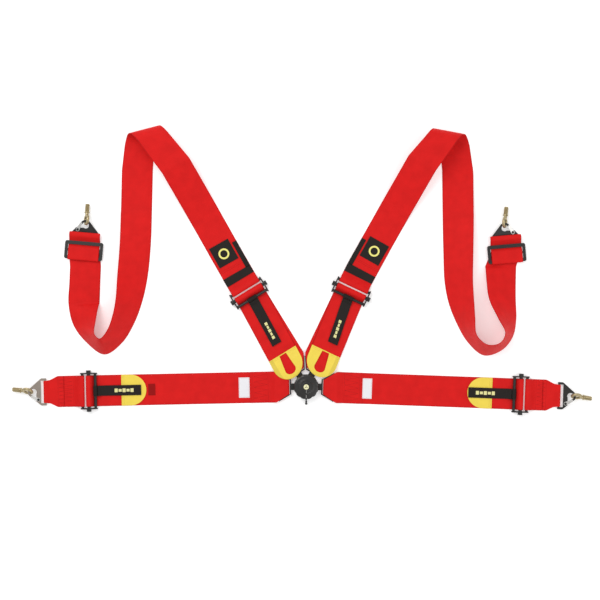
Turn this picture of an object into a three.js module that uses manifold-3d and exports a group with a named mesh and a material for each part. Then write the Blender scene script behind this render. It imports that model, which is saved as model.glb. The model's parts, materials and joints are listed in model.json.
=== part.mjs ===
// Four-point racing harness: a cam-lock buckle, two shoulder arms and two lap arms of 75 mm webbing.
// Millimetres, +Z up. The harness lies on its back on a surface, shoulder arms towards +Y.
// The origin is the centre of the buckle's back face.
import * as THREE from 'three';
import { mergeVertices } from 'three/addons/utils/BufferGeometryUtils.js';
import Module from 'manifold-3d';

const wasm = await Module();
wasm.setup();

// ---- Webbing ----
const WEB_W = 75; // width of every strap
const WEB_T = 1.3; // thickness of the weave
const GAP = 0.3; // clearance between pieces that touch
const LAYER = WEB_T + GAP; // rise from one layer of webbing to the next
const FLOOR_Z = WEB_T / 2; // middle of a layer that lies on the surface
const SECOND_Z = FLOOR_Z + LAYER;
const THIRD_Z = SECOND_Z + LAYER;

// ---- Buckle ----
const KNOB_R = 31;
const BASE_R = KNOB_R - 1.5;
const BASE_T = 3.2;
const HOUSING_Z = BASE_T + GAP;
const HOUSING_TOP = 12.5;
const KNOB_Z = HOUSING_TOP + 0.5;
const KNOB_TOP = 27.4;
const KNOB_WALL = 2.6;
const KNOB_DOME = 1.6; // how far the knob's crown stands above its rim
const KNOB_LOBES = 12;
const LOBE_DEPTH = 1.1;
const KNOB_TURN = 40; // degrees that the knob turns to open the lock
const POST_R = 3.4;
const POST_FOOT_R = 6;
const POST_FOOT_T = 1.3;
const CAP_R = 6.4;
const CAP_RISE = 2.2; // height that the cap takes above the post
const RECESS_R = 7;
const PIN_R = 2.5;
const PIN_AT = KNOB_R - 6.6; // radius of the circle that the lock pins stand on
const PIN_LIFT = 8; // how far a turn of the knob raises the pins
const PIN_FOOT_Z = 5.4;
const PIN_TOP_Z = 16.2;
const PIN_PLAY = 0.3; // round a pin, in its bore and in its tongue
const FINGER_W = 2; // follower finger that rides on the cam
const FINGER_IN = PIN_AT - 6.8;
const FINGER_T = 1;
const CAM_R_IN = 8.2;
const CAM_PLATE_T = 1.3;
const CAM_R_OUT = PIN_AT - 3.6;
const CAM_DROP = 1; // the finger's rest height above the middle of the ramp
const SPRING_R = 6;
const SPRING_WIRE = 1.2;
const SPRING_TURNS = 3;
const PEG_R = 2.2;
const PEG_BALL_R = 2.9;
const PEG_OUT = 41.5;

// ---- Tongues ----
const TONGUE_T = 2.5;
const TONGUE_Z = 5.5; // underside of a tongue in its slot
const TONGUE_TIP = 11.5;
const TONGUE_NECK = 16;
const TONGUE_FRONT = KNOB_R + 5.3; // where the neck opens into the webbing plate
const TONGUE_FRONT_HALF = 18;
const TONGUE_REAR = 70;
const TONGUE_REAR_HALF = 35;
const TONGUE_BAR = 3.4; // bar in front of the webbing slot
const SLOT_PLAY = 0.4; // round a tongue in the housing
const ARM_TRAVEL = 20; // how far a freed arm draws out
const NOSE_HALF = 16.4; // half of the folded webbing's width in the tongue
const SHOULDER_ANGLES = [121.5, 64.7]; // directions of the shoulder arms from the buckle
const SPLIT = (((SHOULDER_ANGLES[0] - SHOULDER_ANGLES[1]) / 2) * Math.PI) / 180;
const TAPER_START = TONGUE_FRONT + 3.7; // where the folded webbing starts to open out
const TAPER_END = WEB_W / 2 / Math.tan(SPLIT) + 1.6; // where the webbing is back to its full width

// ---- Length adjusters ----
const BAR_R = 3.5;
const BAR_PITCH = 31; // from the tongue strap's bar to the anchor strap's bar
const SLIDER_AT = 16;
const SLIDER_R = 4.5;
const SLIDER_PLAY = 1.2; // slack of the webbing round the slider
const EAR_IN = WEB_W / 2 + 3.5; // the ears' inner faces clear the webbing
const EAR_T = 3;
const EAR_HALF_H = 5;
const LOOP_PLAY = 0.45; // slack of a webbing loop round its bar
const LOOP_R = BAR_R + LOOP_PLAY + WEB_T / 2; // middle of the weave in such a loop
const TAB_W = 25; // release tab
const TAB_LOOP_R = BAR_R + GAP + WEB_T / 2;
const TAB_T = 2.6;
const UNDER_BAR = TAB_LOOP_R + WEB_T + 0.4; // the free end passes under the release tab's loop
const BAR_Z = SECOND_Z + UNDER_BAR + 0.6; // height of the adjuster's bars
const PULL_T = 2.4; // yellow pull tab

// ---- Anchor hooks ----
const HOOK_T = 3;
const HOOK_BAR = 4.4; // bar that the webbing loops
const HOOK_SLOT_FRONT = 10;
const HOOK_SLOT_HALF = 27.3;
const HOOK_HALF = HOOK_SLOT_HALF + 5.4;
const HOOK_SHOULDER = 9;
const RING_HOLE_AT = 28;
const RING_HOLE_R = 8;
const HOOK_NOSE = 5; // metal round the ring's hole
const THROAT = 8.4;
const HOOK_LOOP_R = Math.hypot(HOOK_BAR / 2, HOOK_T / 2) + 0.35 + WEB_T / 2;
const HOOK_Z = FLOOR_Z + HOOK_LOOP_R; // height of the hook's bar
const HOOK_WEB_HALF = HOOK_SLOT_HALF - 0.7;
const LATCH_T = 1.2;
const RIVET_R = 1.9;
const LATCH_PIVOT = [16.5, 18.5];
const LATCH_TIP = [34, 9.5];
const RING_R = 10.5; // eyebolt
const RING_WIRE = 7;
const BOLT_R = 5.5;
const BOLT_REACH = 38; // from the ring's centre to the end of the thread
const RING_LEAN = 25;
const RING_SEAT = RING_HOLE_AT + RING_HOLE_R - RING_WIRE / 2 - 1;
const RING_Z = RING_R * Math.cos((RING_LEAN * Math.PI) / 180) + RING_WIRE / 2 + 0.3;
const HOOK_TILT = Math.asin((RING_Z - HOOK_Z) / (RING_SEAT + RING_R));
const BOLT_DROOP = 24;

// ---- Three-bar slides on the shoulder arms ----
const SLIDE_RAIL = 7;
const SLIDE_HALF = WEB_W / 2 + 1.5 + SLIDE_RAIL;
const SLIDE_T = 3;
const SLIDE_FAR = -12; // along the strap from the hook's bar
const SLIDE_L = 44;
const SLIDE_BARS = [8.5, 6, 8]; // widths, from the hook's side

const RED = new THREE.MeshStandardMaterial({ color: 0xd81f1f, roughness: 0.8, metalness: 0 });
const YELLOW = new THREE.MeshStandardMaterial({ color: 0xf5df4d, roughness: 0.8, metalness: 0 });
const BLACK_WEB = new THREE.MeshStandardMaterial({ color: 0x1d1b1a, roughness: 0.9, metalness: 0 });
const BLACK_STEEL = new THREE.MeshStandardMaterial({ color: 0x22211f, roughness: 0.45, metalness: 0.6 });
const GREY_STEEL = new THREE.MeshStandardMaterial({ color: 0x86786b, roughness: 0.4, metalness: 0.8 });
const BLACK_ALLOY = new THREE.MeshStandardMaterial({ color: 0x1b1a19, roughness: 0.35, metalness: 0.7 });
const BRIGHT_STEEL = new THREE.MeshStandardMaterial({ color: 0xb9b7b2, roughness: 0.3, metalness: 1 });
const ZINC = new THREE.MeshStandardMaterial({ color: 0xa69a78, roughness: 0.35, metalness: 0.9 });
const EMBLEM = new THREE.MeshStandardMaterial({ color: 0xe6e3b4, roughness: 0.4, metalness: 0 });

const harness = new THREE.Group();
const radians = THREE.MathUtils.degToRad;

// ---- Solids ----

// A closed geometry as a solid that can be joined and cut.
function solid(geometry) {
  const bare = geometry.index ? geometry.toNonIndexed() : geometry.clone();
  bare.deleteAttribute('normal');
  bare.deleteAttribute('uv');
  const merged = mergeVertices(bare, 1e-4);
  return new wasm.Manifold(new wasm.Mesh({
    numProp: 3,
    vertProperties: new Float32Array(merged.attributes.position.array),
    triVerts: new Uint32Array(merged.index.array),
  }));
}

function toGeometry(body) {
  const mesh = body.getMesh();
  const geometry = new THREE.BufferGeometry();
  geometry.setAttribute('position', new THREE.BufferAttribute(new Float32Array(mesh.vertProperties), 3));
  geometry.setIndex(new THREE.BufferAttribute(new Uint32Array(mesh.triVerts), 1));
  geometry.computeVertexNormals();
  return geometry;
}

const joined = (first, ...rest) => rest.reduce((body, next) => body.add(next), first);
const cutBy = (first, ...rest) => rest.reduce((body, next) => body.subtract(next), first);

function block(x0, x1, y0, y1, z0, z1) {
  const geometry = new THREE.BoxGeometry(x1 - x0, y1 - y0, z1 - z0);
  geometry.translate((x0 + x1) / 2, (y0 + y1) / 2, (z0 + z1) / 2);
  return geometry;
}

// An upright cylinder, or a ring with a bore.
function drum(radius, z0, z1, segments = 24, x = 0, y = 0) {
  const geometry = new THREE.CylinderGeometry(radius, radius, z1 - z0, segments);
  geometry.rotateX(Math.PI / 2);
  geometry.translate(x, y, (z0 + z1) / 2);
  return geometry;
}

// A bar along Y.
function bar(radius, y0, y1, x, z, segments = 16) {
  const geometry = new THREE.CylinderGeometry(radius, radius, y1 - y0, segments);
  geometry.translate(x, (y0 + y1) / 2, z);
  return geometry;
}

// A profile of (radius, height) points turned about the Z axis.
function turned(profile, segments = 48) {
  const points = profile.map(([r, z]) => new THREE.Vector2(r, z));
  const geometry = new THREE.LatheGeometry(points, segments);
  geometry.rotateX(Math.PI / 2);
  return geometry;
}

// A flat plate from its outline, with its underside at z.
function plate(shape, thickness, z, curveSegments = 10) {
  const geometry = new THREE.ExtrudeGeometry(shape, { depth: thickness, bevelEnabled: false, curveSegments });
  geometry.translate(0, 0, z);
  return geometry;
}

function outline(points) {
  return new THREE.Shape(points.map(([x, y]) => new THREE.Vector2(x, y)));
}

// A slot with round ends, from x0 to x1 along X.
function stadium(x0, x1, half) {
  const path = new THREE.Path();
  path.absarc(x0 + half, 0, half, Math.PI / 2, Math.PI * 1.5, false);
  path.absarc(x1 - half, 0, half, -Math.PI / 2, Math.PI / 2, false);
  path.closePath();
  return path;
}

function add(name, geometry, material, parent = harness) {
  const mesh = new THREE.Mesh(geometry.isBufferGeometry ? geometry : toGeometry(geometry), material);
  mesh.name = name;
  parent.add(mesh);
  return mesh;
}

const turnZ = (geometry, degrees) => geometry.rotateZ(radians(degrees));

// ---- Layout of the arms: direction of each from the buckle, and where its adjuster sits ----
// `inner` is the side of the arm, along its own Y, that faces the harness's centre line.
const ARMS = {
  left_shoulder: { angle: SHOULDER_ANGLES[0], adjuster: 249, inner: -1, tab: 125, tabSkew: -3.1, freeSkew: -3.1 },
  right_shoulder: { angle: SHOULDER_ANGLES[1], adjuster: 238, inner: 1, tab: 117, tabSkew: 6.5, freeSkew: 3 },
  left_lap: { angle: 181.2, adjuster: 509, inner: -1, tab: 110, pull: 62 },
  right_lap: { angle: -2.1, adjuster: 502, inner: 1, tab: 110, pull: 52 },
};
const PEG_ANGLE = -90;
const FIXED = 'left_lap'; // the one tongue that is riveted into the buckle

// ---- Buckle ----
{
  add('buckle_base_plate', drum(BASE_R, 0, BASE_T, 48), BLACK_ALLOY);

  // The housing is a thick disc with a slot for each tongue, a bore over each lock pin and a bore for the post.
  let housing = solid(drum(BASE_R, HOUSING_Z, HOUSING_TOP, 36));
  const slotHalf = TONGUE_NECK / 2 + SLOT_PLAY;
  for (const arm of Object.values(ARMS)) {
    const slot = block(TONGUE_TIP - 1, BASE_R + 2, -slotHalf, slotHalf,
      TONGUE_Z - SLOT_PLAY, TONGUE_Z + TONGUE_T + SLOT_PLAY);
    housing = housing.subtract(solid(turnZ(slot, arm.angle)));
    const bore = drum(PIN_R + PIN_PLAY, TONGUE_Z - SLOT_PLAY - 0.2, HOUSING_TOP + 1, 20, PIN_AT);
    housing = housing.subtract(solid(turnZ(bore, arm.angle)));
  }
  const pegZ = TONGUE_Z + TONGUE_T / 2;
  const pegSlot = new THREE.CylinderGeometry(PEG_R + GAP, PEG_R + GAP, BASE_R, 12);
  pegSlot.rotateZ(-Math.PI / 2);
  pegSlot.translate(BASE_R / 2 + 10, 0, pegZ);
  housing = cutBy(housing,
    solid(turnZ(pegSlot, PEG_ANGLE)),
    solid(drum(POST_R + GAP, HOUSING_Z - 1, HOUSING_TOP + 1)),
    solid(drum(POST_FOOT_R + GAP, HOUSING_Z - 1, HOUSING_Z + POST_FOOT_T + GAP)));
  add('buckle_housing', housing, BLACK_ALLOY);

  // Lock pins stand in the housing's bores. A finger on each reaches in over the cam.
  for (const [name, arm] of Object.entries(ARMS)) {
    if (name === FIXED) continue;
    const finger = block(FINGER_IN, PIN_AT, -FINGER_W / 2, FINGER_W / 2, PIN_TOP_Z - FINGER_T, PIN_TOP_Z);
    const pin = solid(drum(PIN_R, PIN_FOOT_Z, PIN_TOP_Z, 16, PIN_AT)).add(solid(finger));
    add(`${name}_lock_pin`, toGeometry(pin).rotateZ(radians(arm.angle)), BRIGHT_STEEL);
  }
  const rivet = drum(PIN_R, TONGUE_Z - SLOT_PLAY, HOUSING_TOP - GAP, 16, PIN_AT);
  add('fixed_tongue_rivet', turnZ(rivet, ARMS[FIXED].angle), BRIGHT_STEEL);

  // The cam is a ring with one ramp to each pin. A ramp climbs as it runs back from its pin.
  let cam = solid(drum(FINGER_IN - 0.4, KNOB_Z, KNOB_Z + CAM_PLATE_T, 28));
  const slope = PIN_LIFT / KNOB_TURN;
  const rampEnd = 4;
  const middle = PIN_TOP_Z - FINGER_T - CAM_DROP;
  for (const [name, arm] of Object.entries(ARMS)) {
    if (name === FIXED) continue;
    cam = cam.add(solid(ramp(FINGER_IN - 1.2, CAM_R_OUT, arm.angle + rampEnd,
      arm.angle - KNOB_TURN - rampEnd, KNOB_Z, middle - slope * rampEnd, middle + PIN_LIFT + slope * rampEnd)));
  }
  cam = cam.subtract(solid(drum(CAM_R_IN, KNOB_Z - 1, KNOB_Z + CAM_PLATE_T + 1)));
  add('cam_ring', cam, BRIGHT_STEEL);

  const postTop = KNOB_TOP + KNOB_DOME - CAP_RISE;
  add('centre_post', turned([[0, HOUSING_Z], [POST_FOOT_R, HOUSING_Z], [POST_FOOT_R, HOUSING_Z + POST_FOOT_T],
    [POST_R, HOUSING_Z + POST_FOOT_T], [POST_R, postTop - 2], [POST_R + 2, postTop - 2],
    [POST_R + 2, postTop], [0, postTop]], 24), BRIGHT_STEEL);

  add('return_spring', coil(SPRING_R, SPRING_WIRE, SPRING_TURNS, HOUSING_TOP + 1.2, postTop - 4.5), BRIGHT_STEEL);

  // The knob is a hollow drum with a lobed rim, a raised ring and a recess for the cap.
  const inside = KNOB_R - KNOB_WALL;
  const ceiling = KNOB_TOP - KNOB_WALL;
  const crown = KNOB_TOP + KNOB_DOME;
  const knob = turned([[POST_R + GAP, ceiling], [inside - 2, ceiling], [inside, ceiling - 2], [inside, KNOB_Z],
    [KNOB_R - 0.6, KNOB_Z], [KNOB_R, KNOB_Z + 0.8], [KNOB_R, KNOB_TOP - 5], [KNOB_R - 1.6, KNOB_TOP - 2],
    [KNOB_R - 5, KNOB_TOP - 0.6], [18.6, KNOB_TOP - 0.2], [17.6, crown - 0.3], [15.6, crown], [14.8, crown - 1.2],
    [RECESS_R + 0.6, crown - 1.2], [RECESS_R, crown - 1.6], [RECESS_R, postTop - 2.4], [POST_R + GAP, postTop - 2.4],
    [POST_R + GAP, ceiling]], 48);
  const place = knob.attributes.position;
  for (let i = 0; i < place.count; i += 1) {
    const x = place.getX(i);
    const y = place.getY(i);
    if (Math.hypot(x, y) < KNOB_R - 3) continue;
    const scale = 1 - (LOBE_DEPTH / KNOB_R) * (0.5 + 0.5 * Math.cos(KNOB_LOBES * Math.atan2(y, x)));
    place.setXY(i, x * scale, y * scale);
  }
  add('release_knob', knob, BLACK_ALLOY);
  const capZ = postTop + GAP;
  add('knob_cap', turned([[0, capZ], [CAP_R, capZ], [CAP_R, crown - 0.8], [CAP_R - 0.8, crown - 0.1],
    [0, crown + 0.3]], 32), EMBLEM);

  // The blanking peg closes the slot for a fifth strap.
  const peg = turned([[0, 0], [PEG_R, 0], [PEG_R, PEG_OUT - 12 - PEG_BALL_R * 0.8],
    ...arcPoints(PEG_BALL_R, -40, 90, 6, 0, PEG_OUT - 12)], 12);
  peg.rotateX(Math.PI / 2);
  peg.translate(0, -12, pegZ);
  add('lower_slot_peg', peg, BLACK_ALLOY);
}

// Points of an arc in a plane, by its radius, its angles in degrees and its centre. The last angle is exact.
function arcPoints(radius, from, to, steps, cx, cy) {
  return Array.from({ length: steps + 1 }, (_, i) => {
    const a = radians(from + ((to - from) * i) / steps);
    const x = Math.abs(Math.cos(a)) < 1e-9 ? 0 : Math.cos(a);
    return [cx + radius * x, cy + radius * Math.sin(a)];
  });
}

// A sector of a ring whose top climbs evenly from one angle to the other.
function ramp(r0, r1, fromDegrees, toDegrees, z, lowTop, highTop) {
  const steps = 10;
  const sections = Array.from({ length: steps + 1 }, (_, i) => {
    const t = i / steps;
    const a = radians(fromDegrees + (toDegrees - fromDegrees) * t);
    const top = lowTop + (highTop - lowTop) * t;
    const at = (r, h) => new THREE.Vector3(r * Math.cos(a), r * Math.sin(a), h);
    return [at(r0, z), at(r1, z), at(r1, top), at(r0, top)];
  });
  return loft(sections);
}

// A helical wire with closed ends.
function coil(radius, wire, turns, z0, z1) {
  const sides = 6;
  const steps = turns * 12;
  const sections = Array.from({ length: steps + 1 }, (_, i) => {
    const a = (i / steps) * turns * Math.PI * 2;
    const z = z0 + ((z1 - z0) * i) / steps;
    return Array.from({ length: sides }, (_, k) => {
      const b = (k / sides) * Math.PI * 2;
      const r = radius + (wire / 2) * Math.cos(b);
      return new THREE.Vector3(r * Math.cos(a), r * Math.sin(a), z + (wire / 2) * Math.sin(b));
    });
  });
  return loft(sections);
}

// A closed solid through a row of outlines with the same number of points. The two halves of an outline split
// their quads along opposite diagonals, so the faces of a thin warped band stay parallel.
function loft(sections) {
  const n = sections[0].length;
  const points = sections.flat();
  const index = [];
  for (let s = 0; s + 1 < sections.length; s += 1) {
    for (let k = 0; k < n; k += 1) {
      const a = s * n + k;
      const b = s * n + ((k + 1) % n);
      if (k < n / 2) index.push(a, b, b + n, a, b + n, a + n);
      else index.push(a, b, a + n, b, b + n, a + n);
    }
  }
  const last = (sections.length - 1) * n;
  for (let k = 1; k + 1 < n; k += 1) index.push(0, k + 1, k, last, last + k, last + k + 1);
  let volume = 0;
  for (let i = 0; i < index.length; i += 3) {
    const [p, q, r] = [points[index[i]], points[index[i + 1]], points[index[i + 2]]];
    volume += p.dot(new THREE.Vector3().crossVectors(q, r));
  }
  if (volume < 0) {
    for (let i = 0; i < index.length; i += 3) [index[i + 1], index[i + 2]] = [index[i + 2], index[i + 1]];
  }
  const geometry = new THREE.BufferGeometry().setFromPoints(points);
  geometry.setIndex(index);
  geometry.computeVertexNormals();
  return geometry;
}

// ---- Webbing ----

// Cross sections of a strap that follows a line of (x, z) points, with its width along Y.
// halfAt and shiftAt give its half width and its sideways shift at each point, and place bends its plan.
function bandSections(points, halfAt, { shiftAt = () => 0, thickness = WEB_T, place = inLine } = {}) {
  return points.map(([x, z], i) => {
    const [px, pz] = points[Math.max(i - 1, 0)];
    const [qx, qz] = points[Math.min(i + 1, points.length - 1)];
    const before = i > 0 ? Math.atan2(z - pz, x - px) : Math.atan2(qz - z, qx - x);
    const after = i + 1 < points.length ? Math.atan2(qz - z, qx - x) : before;
    let bend = after - before;
    bend -= Math.round(bend / (2 * Math.PI)) * 2 * Math.PI;
    const along = before + bend / 2;
    const reach = thickness / 2 / Math.cos(bend / 2);
    const nx = -Math.sin(along) * reach;
    const nz = Math.cos(along) * reach;
    const half = halfAt(x, i);
    const y = shiftAt(x, i);
    return [place(x + nx, y - half, z + nz), place(x + nx, y + half, z + nz),
      place(x - nx, y + half, z - nz), place(x - nx, y - half, z - nz)];
  });
}

function inLine(x, y, z) {
  return new THREE.Vector3(x, y, z);
}

function strap(points, halfAt, shiftAt, thickness) {
  return loft(bandSections(points, halfAt, { shiftAt, thickness }));
}

const between = (a, b, t) => a + (b - a) * Math.min(Math.max(t, 0), 1);

// Half width of a strap that is folded narrow at its tongue.
const taper = (x) => between(NOSE_HALF, WEB_W / 2, (x - TAPER_START) / (TAPER_END - TAPER_START));

const RETURN_END = 136; // end of the layer that is sewn back from the tongue
const RAMP_IN = TONGUE_REAR + 3; // where the layers leave the tongue
const ABOVE_TONGUE = TONGUE_Z + TONGUE_T + GAP + WEB_T / 2;
const BELOW_TONGUE = TONGUE_Z - GAP - WEB_T / 2;
const WRAP_X = TONGUE_FRONT + TONGUE_BAR + WEB_T + 2.1; // middle of the fold in the tongue's slot
const WRAP_R = (ABOVE_TONGUE - BELOW_TONGUE) / 2;

const SLIDER_WRAP = SLIDER_R + SLIDER_PLAY + WEB_T / 2;
const CROSSING = THREE.MathUtils.radToDeg(Math.asin((SLIDER_WRAP + UNDER_BAR) / SLIDER_AT));

function tongue(fixed) {
  const half = TONGUE_NECK / 2;
  const shape = outline([[TONGUE_TIP, -3.5], [14, -6], [18, -half], [TONGUE_FRONT, -half],
    [TONGUE_FRONT, -TONGUE_FRONT_HALF], [TONGUE_REAR - 4, -TONGUE_REAR_HALF], [TONGUE_REAR, -TONGUE_REAR_HALF + 4],
    [TONGUE_REAR, TONGUE_REAR_HALF - 4], [TONGUE_REAR - 4, TONGUE_REAR_HALF], [TONGUE_FRONT, TONGUE_FRONT_HALF],
    [TONGUE_FRONT, half], [18, half], [14, 6], [TONGUE_TIP, 3.5]]);
  const pinHalf = PIN_R + PIN_PLAY;
  const slack = fixed ? 0 : 6.7; // the pin can lift clear before the tongue meets it
  shape.holes.push(stadium(PIN_AT - slack - pinHalf, PIN_AT + pinHalf, pinHalf));
  const front = TONGUE_FRONT + TONGUE_BAR;
  const slot = new THREE.Path();
  const slotHalf = NOSE_HALF + 0.7;
  slot.moveTo(front, -slotHalf);
  slot.lineTo(WRAP_X + GAP, -slotHalf - 1.6);
  slot.lineTo(WRAP_X + GAP, slotHalf + 1.6);
  slot.lineTo(front, slotHalf);
  slot.closePath();
  shape.holes.push(slot);
  return plate(shape, TONGUE_T, TONGUE_Z);
}

// From the sewn end above the tongue, round its slot, out to the adjuster, over the slider and back.
function tongueStrap(arm, freeEnd) {
  const bar0 = arm.adjuster;
  const slider = bar0 + SLIDER_AT;
  const folded = arcPoints(WRAP_R, 90, 270, 10, WRAP_X, (ABOVE_TONGUE + BELOW_TONGUE) / 2);
  const over = arcPoints(SLIDER_WRAP, -90, 90 + CROSSING, 14, slider, BAR_Z);
  const under = arcPoints(UNDER_BAR, CROSSING - 90, -90, 4, bar0, BAR_Z);
  const short = freeEnd > RETURN_END + 12;
  const ending = short
    ? [[bar0 - 16, SECOND_Z], [freeEnd, SECOND_Z]]
    : [[bar0 - 16, SECOND_Z], [RETURN_END + 10, SECOND_Z], [RETURN_END + 2, THIRD_Z], [freeEnd, THIRD_Z]];
  const points = [[RETURN_END, SECOND_Z], [RAMP_IN + 14, SECOND_Z], [RAMP_IN, ABOVE_TONGUE], ...folded,
    [RAMP_IN, BELOW_TONGUE], [RAMP_IN + 9, FLOOR_Z], [slider - 18, FLOOR_Z], ...over, ...under, ...ending];
  const turnAt = points.length - ending.length;
  const skew = Math.tan(radians(arm.freeSkew ?? 0));
  return strap(points, (x, i) => (i < turnAt ? taper(x) : WEB_W / 2),
    (x, i) => (i < turnAt ? 0 : (x - bar0) * skew));
}

// The adjuster's frame: two ears and the bars for the release tab and for the far strap.
function adjusterFrame(arm) {
  const bar0 = arm.adjuster;
  const far = bar0 + BAR_PITCH;
  const slotHalf = 2.2;
  const ears = [-1, 1].map((side) => {
    const shape = outline([[bar0 - 5, BAR_Z - EAR_HALF_H + 2], [bar0 - 2, BAR_Z - EAR_HALF_H],
      [far + 2, BAR_Z - EAR_HALF_H], [far + 5, BAR_Z - EAR_HALF_H + 2], [far + 5, BAR_Z + 2],
      [far + 1, BAR_Z + EAR_HALF_H - 1], [bar0 + SLIDER_AT, BAR_Z + EAR_HALF_H],
      [bar0 - 2, BAR_Z + EAR_HALF_H - 1], [bar0 - 5, BAR_Z + 2]]);
    const window = new THREE.Path();
    window.moveTo(bar0 + SLIDER_AT - 4.6, BAR_Z - slotHalf);
    window.lineTo(bar0 + SLIDER_AT + 3.6, BAR_Z - slotHalf);
    window.lineTo(bar0 + SLIDER_AT + 3.6, BAR_Z + slotHalf);
    window.lineTo(bar0 + SLIDER_AT - 4.6, BAR_Z + slotHalf);
    window.closePath();
    shape.holes.push(window);
    const ear = new THREE.ExtrudeGeometry(shape, { depth: EAR_T, bevelEnabled: false });
    ear.rotateX(Math.PI / 2);
    ear.translate(0, side > 0 ? EAR_IN + EAR_T : -EAR_IN, 0);
    return solid(ear);
  });
  const bars = [bar0, far].map((x) => solid(bar(BAR_R, -EAR_IN - 1, EAR_IN + 1, x, BAR_Z)));
  return joined(...ears, ...bars);
}

// The slider: a round bar whose flats run in the ears' windows, with a head outside each ear.
function adjusterSlider(arm) {
  const x = arm.adjuster + SLIDER_AT;
  const flat = 1.9;
  const outer = EAR_IN + EAR_T + 0.4;
  return joined(
    solid(bar(SLIDER_R, -EAR_IN + 0.5, EAR_IN - 0.5, x, BAR_Z, 20)),
    solid(block(x - 3.2, x + 3.2, -outer - 1, outer + 1, BAR_Z - flat, BAR_Z + flat)),
    ...[-1, 1].map((side) => solid(bar(SLIDER_R + 1.2, side > 0 ? outer : -outer - 5.4,
      side > 0 ? outer + 5.4 : -outer, x, BAR_Z, 16))));
}

// The release tab: a webbing loop round the first bar, and a doubled tail that lies on the free end.
function releaseTab(arm, tailZ, step, endZ) {
  const loopOut = solid(bar(TAB_LOOP_R + WEB_T / 2, -TAB_W / 2, TAB_W / 2, arm.adjuster, BAR_Z, 24));
  const skew = Math.tan(radians(arm.tabSkew ?? 0));
  const start = arm.adjuster - TAB_LOOP_R + 1.6;
  const points = [[start + 2.5, BAR_Z + 2.2], [start - 3, BAR_Z + 1.2], [start - 13, tailZ], [step, tailZ],
    [step - 8, endZ], [arm.adjuster - arm.tab, endZ]];
  const tail = strap(points, (x) => (x > start - 8 ? TAB_W / 2 + 1.5 : TAB_W / 2),
    (x) => (x - arm.adjuster) * skew, TAB_T);
  const bore = solid(bar(BAR_R + GAP, -TAB_W, TAB_W, arm.adjuster, BAR_Z, 20));
  return joined(loopOut, solid(tail)).subtract(bore);
}

for (const [name, arm] of Object.entries(ARMS)) {
  const group = new THREE.Group();
  group.rotation.z = radians(arm.angle);
  harness.add(group);
  arm.group = group;
  const isLap = name.endsWith('lap');
  const bar0 = arm.adjuster;
  const freeEnd = isLap ? bar0 - arm.pull : RETURN_END - 38;
  arm.freeEnd = freeEnd;
  add(`${name}_tongue`, tongue(name === FIXED), BLACK_STEEL, group);
  add(`${name}_tongue_strap`, tongueStrap(arm, freeEnd), RED, group);
  add(`${name}_adjuster_frame`, adjusterFrame(arm), BLACK_STEEL, group);
  add(`${name}_adjuster_slider`, adjusterSlider(arm), BLACK_STEEL, group);
  const onFree = SECOND_Z + WEB_T / 2 + GAP + TAB_T / 2;
  const rise = isLap ? PULL_T - WEB_T : LAYER;
  const step = isLap ? freeEnd + 10 : RETURN_END + 22;
  add(`${name}_release_tab`, releaseTab(arm, onFree, step, onFree + rise), BLACK_WEB, group);
}

// ---- Yellow pull tabs on the free ends ----
for (const [name, arm] of Object.entries(ARMS)) {
  const start = arm.freeEnd - GAP;
  const skew = Math.tan(radians(arm.freeSkew ?? 0));
  const isLap = name.endsWith('lap');
  const length = isLap ? 60 : start - (KNOB_R + 2.6);
  const low = (isLap ? SECOND_Z : THIRD_Z) - WEB_T / 2 + PULL_T / 2;
  const high = ABOVE_TONGUE + WEB_T / 2 + GAP + PULL_T / 2;
  const round = WEB_W * 0.52; // the rounded part of the tab
  const tip = start - length;
  const climb = [RAMP_IN + 18, RAMP_IN + 1.5]; // where a shoulder tab climbs over the tongue
  const height = (x) => (isLap ? low : between(low, high, (climb[0] - x) / (climb[0] - climb[1])));
  const xs = [start, ...(isLap ? [] : climb), ...arcPoints(round, 0, 84, 9, 0, 0).map(([, y]) => tip + round - y)];
  const half = (x) => {
    const t = Math.max(0, (tip + round - x) / round);
    return Math.max((WEB_W / 2) * Math.sqrt(Math.max(1 - t * t, 0)), 3);
  };
  const points = [...xs].sort((a, b) => b - a).map((x) => [x, height(x)]);
  let tab = solid(strap(points, half, (x) => (x - arm.adjuster) * skew, PULL_T));
  if (!isLap) {
    // The finger hole widens towards the tip and has a round end.
    const y = (x) => (x - arm.adjuster) * skew;
    const [top, end] = [start - 1.5, tip + 22];
    const hole = new THREE.Shape();
    hole.moveTo(top, y(top) + 9);
    hole.lineTo(end, y(end) + 13.5);
    hole.quadraticCurveTo(end - 11, y(end) + 11, end - 11.5, y(end));
    hole.quadraticCurveTo(end - 11, y(end) - 11, end, y(end) - 13.5);
    hole.lineTo(top, y(top) - 9);
    hole.closePath();
    tab = tab.subtract(solid(plate(hole, 20, 0, 6)));
  }
  add(`${name}_pull_tab`, tab, YELLOW, arm.group);
}

// ---- Anchor end: hook plate, latch, rivet and eyebolt ----

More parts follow.
